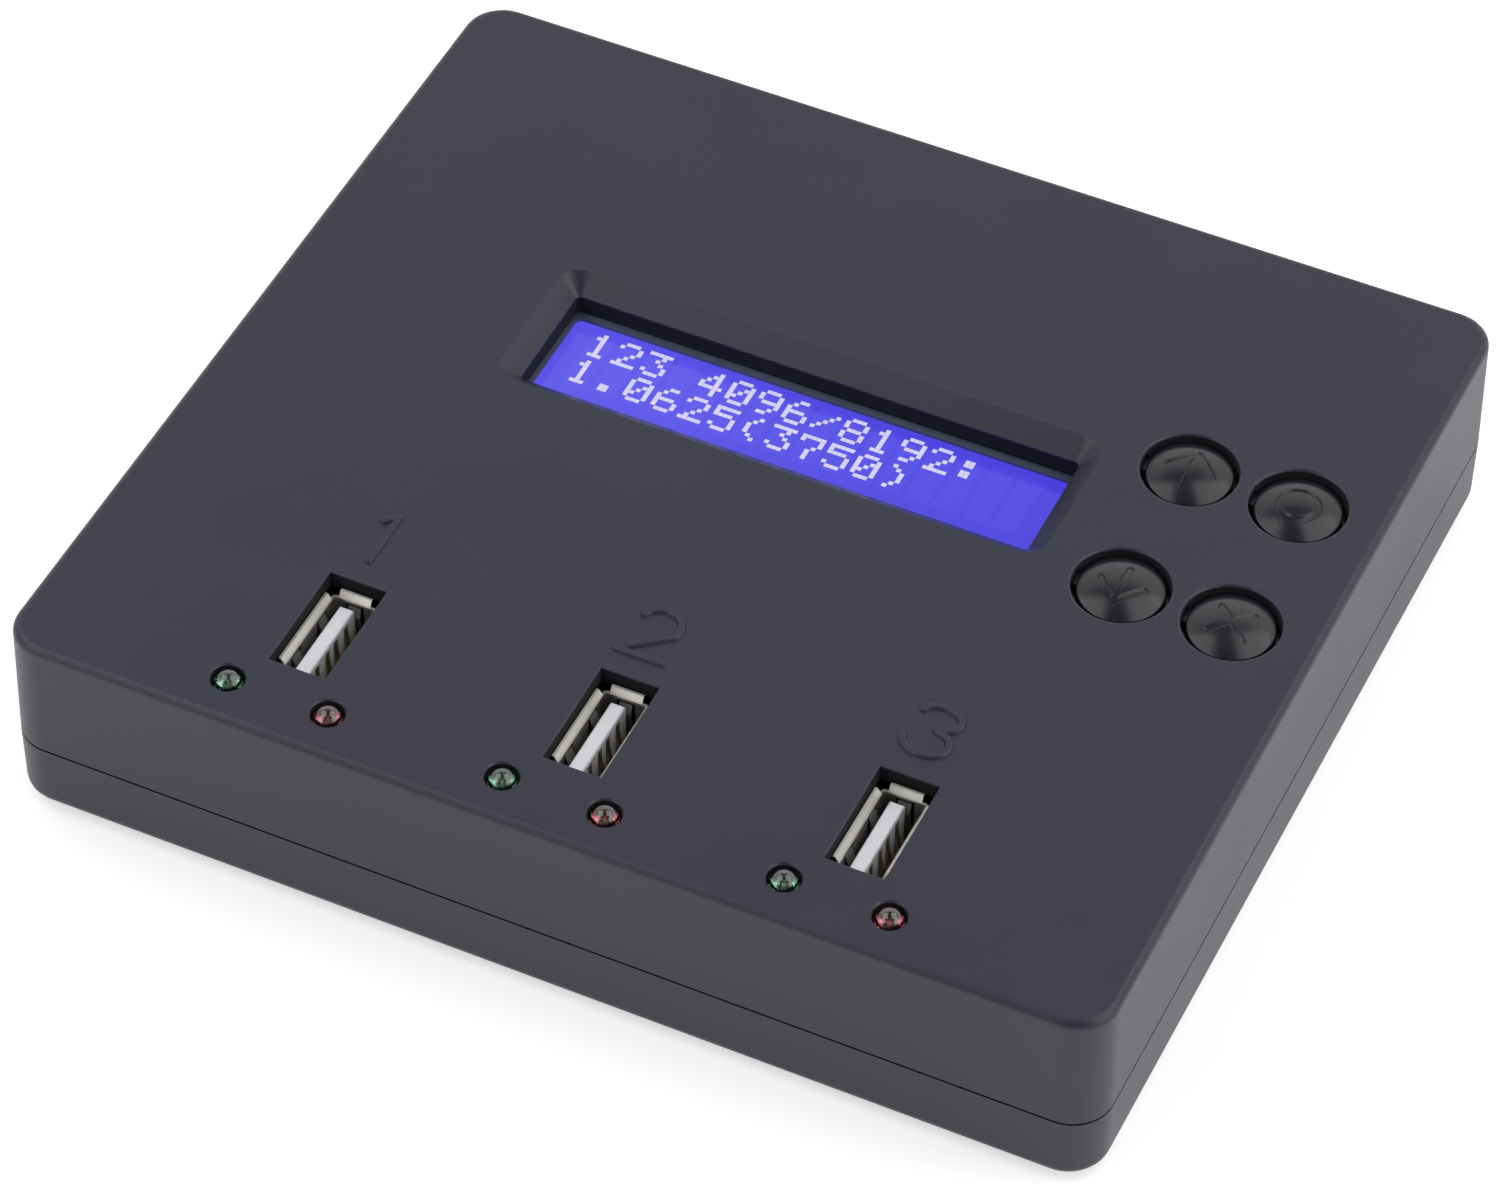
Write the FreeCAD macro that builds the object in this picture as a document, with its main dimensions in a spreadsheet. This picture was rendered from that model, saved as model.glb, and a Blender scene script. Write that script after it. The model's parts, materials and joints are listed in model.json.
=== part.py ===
import FreeCAD, Part
import math
import os
import Sketcher

# Desktop USB flash drive duplicator, one source port and two target ports, in millimetres.
# X runs to the right along the front edge, Y to the back, Z up.
# The origin is at the centre of the footprint, on the surface that the feet stand on.

DOC = FreeCAD.newDocument("usb_flash_drive_duplicator")
SHEET = DOC.addObject("Spreadsheet::Sheet", "Sizes")

# Driving sizes. Each one is a cell of the sheet, under the same name.
SIZES = {
    # Case, outer form
    "case_width": 135.4,
    "case_depth": 121.9,
    "upper_height": 16.5,
    "lower_height": 9.3,
    "corner_radius": 5.0,
    "top_edge_radius": 1.0,
    "bottom_edge_radius": 1.6,
    "draft_angle": 0.7,
    "seam_gap": 0.3,
    # Case, walls and the lip that locates the two halves
    "side_wall": 2.0,
    "roof_thickness": 2.2,
    "floor_thickness": 2.0,
    "lip_height": 1.6,
    "lip_thickness": 0.9,
    "lip_clearance": 0.1,
    "rib_thickness": 1.2,
    "rib_height": 2.0,
    # Feet
    "foot_diameter": 9.0,
    "foot_height": 1.3,
    "foot_recess": 0.5,
    "foot_clearance": 0.15,
    "foot_taper": 0.5,
    "foot_inset_x": 18.5,
    "foot_inset_y": 10.0,
    # Case screws, the bosses that take them and the towers that carry their heads
    "boss_inset": 7.5,
    "boss_diameter": 6.4,
    "tower_diameter": 7.4,
    "head_seat_depth": 5.0,
    "case_screw_diameter": 2.6,
    "case_screw_length": 10.0,
    "case_screw_head": 4.8,
    "case_screw_head_height": 1.8,
    "screw_bite": 0.05,
    "screw_clearance": 0.3,
    # Main board and its screws
    "board_thickness": 1.6,
    "board_wall_gap": 3.0,
    "board_edge_gap": 1.5,
    "board_notch": 9.5,
    "board_boss_diameter": 5.4,
    "board_boss_x": 53.5,
    "board_boss_back": 39.0,
    "board_boss_front": -21.0,
    "board_screw_diameter": 2.2,
    "board_screw_length": 6.0,
    "board_screw_head": 4.2,
    "board_screw_head_height": 1.5,
    "pillar_diameter": 4.0,
    "pin_clearance": 0.1,
    "tail_length": 1.2,
    # Receptacles for the flash drives, mouths facing up
    "port_pitch": 34.3,
    "port_middle_x": -0.5,
    "port_y": -42.9,
    "window_width": 7.2,
    "window_length": 14.9,
    "window_edge": 0.2,
    "mouth_depth": 1.6,
    "receptacle_height": 14.4,
    "shell_width": 5.75,
    "shell_length": 13.1,
    "shell_sheet": 0.32,
    "shell_corner": 0.6,
    "lip_flare": 0.5,
    "lip_rise": 0.8,
    "long_lip": 11.3,
    "short_lip": 4.0,
    "finger_width": 1.6,
    "finger_length": 3.6,
    "finger_gap": 0.35,
    "finger_bend": 0.42,
    "finger_root": 9.3,
    "finger_offset": 3.1,
    "leg_width": 2.0,
    "insulator_clearance": 0.05,
    "insulator_base": 3.4,
    "tongue_thickness": 1.84,
    "tongue_length": 11.1,
    "tongue_offset": 0.6,
    "tongue_recess": 0.4,
    "tongue_tip_radius": 0.3,
    "slot_width": 1.1,
    "slot_depth": 0.45,
    "slot_reach": 0.4,
    "slot_start": 0.7,
    "contact_width": 0.8,
    "contact_sheet": 0.22,
    "contact_bow": 0.6,
    "contact_inner": 1.0,
    "contact_outer": 3.5,
    # Status lights
    "led_offset_x": 6.3,
    "led_y": -54.9,
    "led_diameter": 3.3,
    "led_height": 5.3,
    "led_proud": 0.55,
    "led_flange": 3.8,
    "led_flange_height": 1.0,
    "led_hole": 4.0,
    "led_hole_edge": 0.2,
    "led_lead": 0.5,
    "led_lead_spacing": 2.54,
    "led_spacer_diameter": 4.4,
    "led_spacer_bore": 3.4,
    # Display well in the top cover
    "display_x": -1.6,
    "display_y": 11.7,
    "aperture_width": 65.1,
    "aperture_breadth": 15.6,
    "aperture_corner": 0.6,
    "bevel_margin": 2.45,
    "bevel_depth": 2.1,
    "bevel_corner": 3.0,
    "well_depth": 4.5,
    "well_wall": 1.2,
    # Display module
    "display_sink": 4.7,
    "bezel_width": 71.2,
    "bezel_breadth": 25.2,
    "bezel_height": 6.6,
    "bezel_sheet": 0.4,
    "bezel_corner": 0.8,
    "view_width": 64.2,
    "view_breadth": 13.8,
    "glass_thickness": 2.2,
    "module_width": 80.0,
    "module_breadth": 36.0,
    "module_board": 1.6,
    "module_hole_x": 75.0,
    "module_hole_y": 31.0,
    "module_hole": 2.5,
    "module_inner_gap": 0.3,
    "header_pitch": 2.54,
    "header_pin": 0.64,
    "header_edge": 2.5,
    "header_start": 8.0,
    "header_body": 2.4,
    "spacer_diameter": 4.6,
    "spacer_stud": 3.0,
    "display_screw_diameter": 2.0,
    "display_screw_length": 4.4,
    "display_screw_head": 3.8,
    "display_screw_head_height": 1.3,
    # Push buttons
    "button_x": 43.5,
    "button_y": 1.6,
    "button_pitch_x": 13.5,
    "button_pitch_y": 20.5,
    "button_hole": 11.6,
    "button_hole_edge": 0.35,
    "cap_diameter": 10.4,
    "cap_rim_depth": 0.85,
    "cap_rise": 1.15,
    "cap_edge": 0.35,
    "cap_wall": 1.1,
    "cap_crown": 1.6,
    "flange_diameter": 13.0,
    "flange_height": 0.9,
    "flange_clearance": 0.1,
    "stem_diameter": 3.2,
    "key_width": 2.0,
    "key_reach": 0.35,
    "key_depth": 1.1,
    "key_clearance": 0.25,
    # Tactile switches under the buttons
    "switch_side": 6.0,
    "switch_body": 3.2,
    "switch_plate": 0.3,
    "switch_cavity": 4.8,
    "switch_floor": 1.5,
    "plunger_diameter": 3.4,
    "plunger_height": 5.0,
    "plunger_flange": 4.3,
    "plunger_flange_height": 0.6,
    "plunger_nub": 1.6,
    "plunger_slack": 0.1,
    "dome_diameter": 4.2,
    "dome_rise": 0.5,
    "dome_sheet": 0.12,
    "terminal_width": 0.7,
    "terminal_sheet": 0.3,
    "terminal_offset": 2.25,
    "terminal_rise": 0.9,
    # Power inlet in the back wall
    "jack_x": -40.0,
    "jack_axis_height": 6.5,
    "jack_width": 9.0,
    "jack_length": 13.5,
    "jack_height": 11.0,
    "jack_nose": 8.0,
    "jack_nose_clearance": 0.2,
    "jack_nose_sink": 0.4,
    "jack_wall_clearance": 0.1,
    "jack_bore": 6.3,
    "jack_bore_depth": 9.5,
    "jack_pin": 2.0,
    "jack_pin_sink": 1.0,
    "jack_leaf_sheet": 0.3,
    "jack_tail_width": 2.4,
    "jack_tail_thickness": 0.6,
    # Components on the main board
    "controller_x": -8.0,
    "controller_y": -20.5,
    "controller_side": 14.0,
    "controller_height": 1.4,
    "chip_lead_pitch": 1.2,
    "chip_lead_width": 0.4,
    "chip_lead_reach": 1.0,
    "chip_lead_thickness": 0.2,
    "memory_x": 14.0,
    "memory_side": 5.3,
    "memory_height": 1.8,
    "crystal_x": -27.0,
    "crystal_length": 11.0,
    "crystal_width": 4.6,
    "crystal_height": 3.5,
    "regulator_x": -22.0,
    "regulator_y": 47.0,
    "regulator_length": 6.5,
    "regulator_width": 3.5,
    "regulator_height": 1.7,
    "capacitor_x": -12.0,
    "capacitor_y": 47.0,
    "capacitor_pitch": 10.0,
    "capacitor_diameter": 6.3,
    "capacitor_height": 5.8,
    "capacitor_base": 6.6,
    "capacitor_base_height": 0.8,
}

PORTS = (1, 2, 3)
BUTTONS = (
    ("up", 0, 1),
    ("enter", 1, 1),
    ("down", 0, 0),
    ("cancel", 1, 0),
)
HEADER_PINS = 16
CHIP_LEADS_PER_SIDE = 10
CORNERS = ((-1, -1), (1, -1), (1, 1), (-1, 1))


class Measure:
    """A length, with its present value and the sheet formula that yields it."""

    def __init__(self, value, formula):
        self.value = value
        self.formula = formula

    def __add__(self, other):
        other = measure(other)
        return Measure(self.value + other.value, f"({self.formula} + {other.formula})")

    def __radd__(self, other):
        return measure(other) + self

    def __sub__(self, other):
        other = measure(other)
        return Measure(self.value - other.value, f"({self.formula} - {other.formula})")

    def __rsub__(self, other):
        return measure(other) - self

    def __mul__(self, other):
        other = measure(other)
        return Measure(self.value * other.value, f"({self.formula} * {other.formula})")

    def __rmul__(self, other):
        return measure(other) * self

    def __truediv__(self, other):
        other = measure(other)
        return Measure(self.value / other.value, f"({self.formula} / {other.formula})")

    def __neg__(self):
        return measure(0) - self


def measure(amount):
    """Any plain number as a measure."""
    if isinstance(amount, Measure):
        return amount
    return Measure(float(amount), repr(float(amount)))


class Namespace:
    """The sheet's cells as measures, one attribute each."""


def fill_sheet():
    """Write the driving sizes into the sheet and hand them back as measures."""
    sizes = Namespace()
    for row, (name, value) in enumerate(SIZES.items(), start=1):
        SHEET.set(f"A{row}", name)
        SHEET.set(f"B{row}", str(value))
        SHEET.setAlias(f"B{row}", name)
        setattr(sizes, name, Measure(value, f"Sizes.{name}"))
    DOC.recompute()
    return sizes


size = fill_sheet()

# Levels, counted up from the surface that the feet stand on.
floor_z = size.foot_height - size.foot_recess
seam_z = floor_z + size.lower_height
top_z = seam_z + size.upper_height
rim_z = seam_z - size.seam_gap / 2
edge_z = seam_z + size.seam_gap / 2
lip_z = edge_z + size.lip_height
roof_z = top_z - size.roof_thickness
inner_floor_z = floor_z + size.floor_thickness
board_z = top_z - size.mouth_depth - size.receptacle_height
board_under_z = board_z - size.board_thickness
tail_z = board_under_z - size.tail_length
well_floor_z = top_z - size.well_depth
bezel_z = top_z - size.display_sink
module_z = bezel_z - size.bezel_height
module_under_z = module_z - size.module_board
head_seat_z = floor_z + size.head_seat_depth
jack_axis_z = board_z + size.jack_axis_height

# Inside of the case
inner_width = size.case_width - 2 * size.side_wall
inner_depth = size.case_depth - 2 * size.side_wall
inner_radius = size.corner_radius - size.side_wall
boss_x = size.case_width / 2 - size.boss_inset
boss_y = size.case_depth / 2 - size.boss_inset


def bind(thing, path, amount):
    """Tie one property of a document object to the sheet."""
    thing.setExpression(path, measure(amount).formula)


def place(thing, x, y, z):
    """Put a document object at a point that follows the sheet."""
    for axis, amount in zip("xyz", (x, y, z)):
        bind(thing, f"Placement.Base.{axis}", amount)


def arc_between(start, end, radius):
    """Arc between two points, to the left of the way from start to end if the radius is positive."""
    chord = end - start
    half = chord.Length / 2
    bulge = abs(radius) - math.sqrt(max(radius * radius - half * half, 0.0))
    side = FreeCAD.Vector(-chord.y, chord.x, 0) / chord.Length
    return Part.Arc(start, (start + end) / 2 + side * math.copysign(bulge, radius), end)


def outline(sketch, points, arcs=None):
    """Closed outline through points; arcs maps a side's number to its radius."""
    arcs = {number: measure(radius) for number, radius in (arcs or {}).items()}
    corners = [(measure(x), measure(y)) for x, y in points]
    spots = [FreeCAD.Vector(x.value, y.value, 0) for x, y in corners]
    shapes = []
    ends = []
    for number, spot in enumerate(spots):
        after = spots[(number + 1) % len(spots)]
        radius = arcs.get(number)
        shapes.append(arc_between(spot, after, radius.value) if radius else Part.LineSegment(spot, after))
        ends.append((2, 1) if radius and radius.value > 0 else (1, 2))
    indices = sketch.addGeometry(shapes, False)
    held = []
    amounts = []
    for number, index in enumerate(indices):
        after = (number + 1) % len(indices)
        held.append(Sketcher.Constraint("Coincident", index, ends[number][1], indices[after], ends[after][0]))
        amounts.append(None)
        for kind, amount in zip(("DistanceX", "DistanceY"), corners[number]):
            held.append(Sketcher.Constraint(kind, -1, 1, index, ends[number][0], amount.value))
            amounts.append(amount)
        if number in arcs:
            radius = arcs[number] if arcs[number].value > 0 else -arcs[number]
            held.append(Sketcher.Constraint("Radius", index, radius.value))
            amounts.append(radius)
    for number, amount in zip(sketch.addConstraint(held), amounts):
        if amount:
            bind(sketch, f"Constraints[{number}]", amount)


def rectangle(sketch, x, y, width, breadth):
    """Rectangle centred on x, y."""
    left, right = x - measure(width) / 2, x + measure(width) / 2
    low, high = y - measure(breadth) / 2, y + measure(breadth) / 2
    outline(sketch, [(left, low), (right, low), (right, high), (left, high)])


def rounded(sketch, x, y, width, breadth, radius):
    """Rectangle centred on x, y with round corners."""
    left, right = x - measure(width) / 2, x + measure(width) / 2
    low, high = y - measure(breadth) / 2, y + measure(breadth) / 2
    points = [
        (left + radius, low), (right - radius, low),
        (right, low + radius), (right, high - radius),
        (right - radius, high), (left + radius, high),
        (left, high - radius), (left, low + radius),
    ]
    bend = -measure(radius)
    outline(sketch, points, {1: bend, 3: bend, 5: bend, 7: bend})


def circle(sketch, x, y, diameter):
    """Circle centred on x, y."""
    x, y, radius = measure(x), measure(y), measure(diameter) / 2
    centre = FreeCAD.Vector(x.value, y.value, 0)
    index = sketch.addGeometry(Part.Circle(centre, FreeCAD.Vector(0, 0, 1), radius.value), False)
    held = [
        Sketcher.Constraint("DistanceX", -1, 1, index, 3, x.value),
        Sketcher.Constraint("DistanceY", -1, 1, index, 3, y.value),
        Sketcher.Constraint("Radius", index, radius.value),
    ]
    for number, amount in zip(sketch.addConstraint(held), (x, y, radius)):
        bind(sketch, f"Constraints[{number}]", amount)


class Piece:
    """One piece of the object, built feature by feature from its own sketches."""

    def __init__(self, label, x=0, y=0, z=0):
        self.body = DOC.addObject("PartDesign::Body", label)
        self.body.Label = label
        place(self.body, x, y, z)

    def plane(self, role):
        """One of the piece's own base planes or axes."""
        return next(item for item in self.body.Origin.OriginFeatures if item.Role == role)

    def sketch(self, role="XY_Plane", rise=0):
        """New sketch on a base plane, lifted along that plane's normal."""
        made = self.body.newObject("Sketcher::SketchObject", "Sketch")
        made.AttachmentSupport = [(self.plane(role), "")]
        made.MapMode = "FlatFace"
        bind(made, "AttachmentOffset.Base.z", rise)
        return made

    def feature(self, kind, **settings):
        """New feature of the piece, with its plain settings."""
        made = self.body.newObject(f"PartDesign::{kind}", kind)
        for name, setting in settings.items():
            setattr(made, name, setting)
        return made

    def pad(self, sketch, length, down=False, both=False, taper=None):
        """Material from a sketch, over a length along the normal."""
        made = self.feature("Pad", Profile=sketch, Reversed=down)
        if both:
            made.SideType = "Symmetric"
        bind(made, "Length", length)
        if taper is not None:
            bind(made, "TaperAngle", taper)
        return made

    def pocket(self, sketch, length=None, up=False):
        """Cut from a sketch, against its normal, or along it if up is set."""
        made = self.feature("Pocket", Profile=sketch, Reversed=up)
        if length is None:
            made.Type = "ThroughAll"
        else:
            bind(made, "Length", length)
        return made

    def turn(self, sketch):
        """Solid of revolution about the piece's own Z axis."""
        return self.feature("Revolution", Profile=sketch, ReferenceAxis=(self.plane("Z_Axis"), [""]))

    def funnel(self, first, last):
        """Cut that tapers from one sketch to the next."""
        return self.feature("SubtractiveLoft", Profile=first, Sections=[last], Ruled=True)

    def row(self, feature, axis, count, pitch):
        """Repeat a feature along an axis."""
        made = self.feature("LinearPattern", Originals=[feature], Mode="Spacing")
        made.Direction = (self.plane(axis), [""])
        made.Occurrences = count
        bind(made, "Offset", pitch)
        self.body.Tip = made

    def mirror(self, features, role):
        """Repeat features on the other side of a base plane."""
        made = self.feature("Mirrored", Originals=features)
        made.MirrorPlane = (self.plane(role), [""])
        self.body.Tip = made

    def edges(self, test):
        """Names of the edges of the piece so far that pass a test."""
        DOC.recompute()
        found = [f"Edge{number}" for number, edge in enumerate(self.body.Tip.Shape.Edges, start=1)
                 if test(edge)]
        if not found:
            raise RuntimeError(f"{self.body.Label}: no edge to round")
        return self.body.Tip, found

    def fillet(self, radius, test):
        """Round the edges that pass a test."""
        base = self.edges(test)
        bind(self.feature("Fillet", Base=base), "Radius", radius)

    def chamfer(self, width, test):
        """Bevel the edges that pass a test."""
        base = self.edges(test)
        bind(self.feature("Chamfer", Base=base), "Size", width)


def upright(edge):
    """True for a straight edge that runs mostly along Z."""
    ends = [vertex.Point for vertex in edge.Vertexes]
    return len(ends) == 2 and abs(ends[0].z - ends[1].z) > 0.9 * edge.Length


def at_level(level):
    """Test for edges that lie flat at a level."""
    height = measure(level).value

    def test(edge):
        box = edge.BoundBox
        return abs(box.ZMin - height) < 1e-4 and abs(box.ZMax - height) < 1e-4

    return test


def ring_at(level, diameter):
    """Test for round edges of a diameter at a level."""
    flat = at_level(level)
    radius = measure(diameter).value / 2

    def test(edge):
        return flat(edge) and isinstance(edge.Curve, Part.Circle) and abs(edge.Curve.Radius - radius) < 1e-4

    return test


def window_rim(level):
    """Test for the straight edges round a port's window at a level."""
    flat = at_level(level)
    sides = (size.window_width.value, size.window_length.value)

    def test(edge):
        return flat(edge) and any(abs(edge.Length - side) < 1e-4 for side in sides)

    return test


def block(x, y, z, width, breadth, height):
    """Box centred on x, y, standing on z."""
    made = DOC.addObject("Part::Box", "Block")
    for path, amount in (("Length", width), ("Width", breadth), ("Height", height)):
        bind(made, path, amount)
    place(made, x - measure(width) / 2, y - measure(breadth) / 2, z)
    return made


def cylinder(x, y, z, diameter, height):
    """Upright cylinder on x, y, standing on z."""
    made = DOC.addObject("Part::Cylinder", "Cylinder")
    bind(made, "Radius", measure(diameter) / 2)
    bind(made, "Height", height)
    place(made, x, y, z)
    return made


def cone(x, y, z, lower, upper, height):
    """Upright cone frustum on x, y, standing on z."""
    made = DOC.addObject("Part::Cone", "Cone")
    bind(made, "Radius1", measure(lower) / 2)
    bind(made, "Radius2", measure(upper) / 2)
    bind(made, "Height", height)
    place(made, x, y, z)
    return made


def ball(x, y, z, radius):
    """Sphere about x, y, z."""
    made = DOC.addObject("Part::Sphere", "Ball")
    bind(made, "Radius", radius)
    place(made, x, y, z)
    return made


def fuse(*shapes):
    """One solid from several that meet."""
    made = DOC.addObject("Part::MultiFuse", "Fuse")
    made.Shapes = list(shapes)
    made.Refine = True
    return made


def cut(base, *tools):
    """A solid less others."""
    made = DOC.addObject("Part::Cut", "Cut")
    made.Base = base
    made.Tool = tools[0] if len(tools) == 1 else fuse(*tools)
    made.Refine = True
    return made


def group(label, solids):
    """Several separate solids that share one node."""
    made = DOC.addObject("Part::Compound", label)
    made.Links = solids
    made.Label = label
    return made


def named(thing, label):
    """Give a solid its own label."""
    thing.Label = label
    return thing


SUB_PARTS = []


def sub_part(thing):
    """Keep a finished piece for the export."""
    SUB_PARTS.append(thing.body if isinstance(thing, Piece) else thing)


def port_x(number):
    """Place of a port along the front edge."""
    return size.port_middle_x + (number - 2) * size.port_pitch


def button_place(column, row):
    """Centre of a button in its column and row."""
    return size.button_x + column * size.button_pitch_x, size.button_y + row * size.button_pitch_y


def board_boss_places():
    """Centres of the bosses that the main board is screwed to."""
    for side in (-1, 1):
        yield side * size.board_boss_x, size.board_boss_front
        yield side * size.board_boss_x, size.board_boss_back


def screw(x, y, seat_z, diameter, length, head, head_height, up):
    """Pan-head screw with a cross recess; it points up or down from its seat."""
    shank_z = seat_z if up else seat_z - length
    head_z = seat_z - head_height if up else seat_z
    recess_z = head_z if up else head_z + head_height / 2
    shank = cylinder(x, y, shank_z, diameter, length)
    lower = head * 0.8 if up else head
    upper = head if up else head * 0.8
    dome = cone(x, y, head_z, lower, upper, head_height)
    slots = [block(x, y, recess_z, head / 2, head / 8, head_height / 2),
             block(x, y, recess_z, head / 8, head / 2, head_height / 2)]
    return cut(fuse(shank, dome), *slots)


# Case


def display_well(piece):
    """Ring under the roof and the bevelled aperture through it."""
    x, y = size.display_x, size.display_y
    ring = piece.sketch(rise=roof_z)
    rounded(ring, x, y, size.aperture_width + 2 * size.well_wall,
            size.aperture_breadth + 2 * size.well_wall, size.aperture_corner + size.well_wall)
    piece.pad(ring, roof_z - well_floor_z, down=True)
    mouth = piece.sketch(rise=top_z)
    rounded(mouth, x, y, size.aperture_width + 2 * size.bevel_margin,
            size.aperture_breadth + 2 * size.bevel_margin, size.bevel_corner)
    throat = piece.sketch(rise=top_z - size.bevel_depth)
    rounded(throat, x, y, size.aperture_width, size.aperture_breadth, size.aperture_corner)
    piece.funnel(mouth, throat)
    aperture = piece.sketch(rise=top_z)
    rounded(aperture, x, y, size.aperture_width, size.aperture_breadth, size.aperture_corner)
    piece.pocket(aperture, size.well_depth)


def top_bosses(piece):
    """Bosses under the roof for the case screws and for the main board."""
    corners = piece.sketch(rise=roof_z)
    for side_x, side_y in CORNERS:
        circle(corners, side_x * boss_x, side_y * boss_y, size.boss_diameter)
    piece.pad(corners, roof_z - edge_z, down=True)
    webs = piece.sketch(rise=roof_z)
    reach = size.boss_inset - size.side_wall / 2 - size.boss_diameter / 4
    shift = size.boss_diameter / 4 + reach / 2
    for side_x, side_y in CORNERS:
        rectangle(webs, side_x * (boss_x + shift), side_y * boss_y, reach, size.rib_thickness)
    piece.pad(webs, roof_z - lip_z - size.seam_gap, down=True)
    cross_webs = piece.sketch(rise=roof_z)
    for side_x, side_y in CORNERS:
        rectangle(cross_webs, side_x * boss_x, side_y * (boss_y + shift), size.rib_thickness, reach)
    piece.pad(cross_webs, roof_z - lip_z - size.seam_gap, down=True)
    board = piece.sketch(rise=roof_z)
    for x, y in board_boss_places():
        circle(board, x, y, size.board_boss_diameter)
    piece.pad(board, roof_z - board_z, down=True)
    pilots = piece.sketch(rise=edge_z)
    for side_x, side_y in CORNERS:
        circle(pilots, side_x * boss_x, side_y * boss_y, size.case_screw_diameter + 2 * size.screw_bite)
    piece.pocket(pilots, size.case_screw_length, up=True)
    board_pilots = piece.sketch(rise=board_z)
    for x, y in board_boss_places():
        circle(board_pilots, x, y, size.board_screw_diameter + 2 * size.screw_bite)
    piece.pocket(board_pilots, size.board_screw_length, up=True)


def roof_ribs(piece):
    """Stiffening ribs behind the display."""
    back = inner_depth / 2
    front = size.display_y + size.module_breadth / 2 + size.rib_thickness
    ribs = piece.sketch(rise=roof_z)
    rectangle(ribs, size.display_x - size.aperture_width / 3, (back + front) / 2,
              size.rib_thickness, back - front + size.side_wall)
    rib = piece.pad(ribs, size.rib_height, down=True)
    piece.row(rib, "X_Axis", 3, size.aperture_width / 3)


def button_openings(piece):
    """Round holes for the caps, with a keyway under the surface."""
    holes = piece.sketch(rise=top_z)
    for _, column, row in BUTTONS:
        circle(holes, *button_place(column, row), size.button_hole)
    piece.pocket(holes, size.roof_thickness * 2)
    keys = piece.sketch(rise=roof_z)
    reach = size.button_hole / 2 + size.key_reach + size.key_clearance
    for _, column, row in BUTTONS:
        x, y = button_place(column, row)
        rectangle(keys, x - reach / 2, y, reach, size.key_width + 2 * size.key_clearance)
    piece.pocket(keys, size.roof_thickness - size.key_depth + size.key_clearance, up=True)


def port_openings(piece):
    """A window for each receptacle and two round holes for its lights."""
    opening = piece.sketch(rise=top_z)
    first = port_x(PORTS[0])
    rectangle(opening, first, size.port_y, size.window_width, size.window_length)
    for side in (-1, 1):
        circle(opening, first + side * size.led_offset_x, size.led_y, size.led_hole)
    pocket = piece.pocket(opening, size.roof_thickness * 2)
    piece.row(pocket, "X_Axis", len(PORTS), size.port_pitch)


def inlet_opening(piece):
    """Round hole in the back wall for the nose of the power inlet."""
    hole = piece.sketch("XZ_Plane", rise=-size.case_depth / 2)
    circle(hole, size.jack_x, jack_axis_z, size.jack_nose + 2 * size.jack_nose_clearance)
    piece.pocket(hole, 2 * size.side_wall, up=True)


def top_cover():
    """Upper half of the case: roof, four walls and all the openings."""
    piece = Piece("top_cover")
    base = piece.sketch(rise=edge_z)
    rectangle(base, 0, 0, size.case_width, size.case_depth)
    piece.pad(base, top_z - edge_z, taper=-size.draft_angle)
    piece.fillet(size.corner_radius, upright)
    piece.fillet(size.top_edge_radius, at_level(top_z))
    hollow = piece.sketch(rise=edge_z)
    rounded(hollow, 0, 0, inner_width, inner_depth, inner_radius)
    piece.pocket(hollow, roof_z - edge_z, up=True)
    rebate = piece.sketch(rise=edge_z)
    room = size.lip_thickness + size.lip_clearance
    rounded(rebate, 0, 0, inner_width + 2 * room, inner_depth + 2 * room, inner_radius + room)
    piece.pocket(rebate, size.lip_height, up=True)
    top_bosses(piece)
    roof_ribs(piece)
    display_well(piece)
    port_openings(piece)
    button_openings(piece)
    inlet_opening(piece)
    piece.fillet(size.window_edge, window_rim(top_z))
    piece.chamfer(size.led_hole_edge, ring_at(top_z, size.led_hole))
    piece.fillet(size.button_hole_edge, ring_at(top_z, size.button_hole))
    sub_part(piece)


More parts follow.
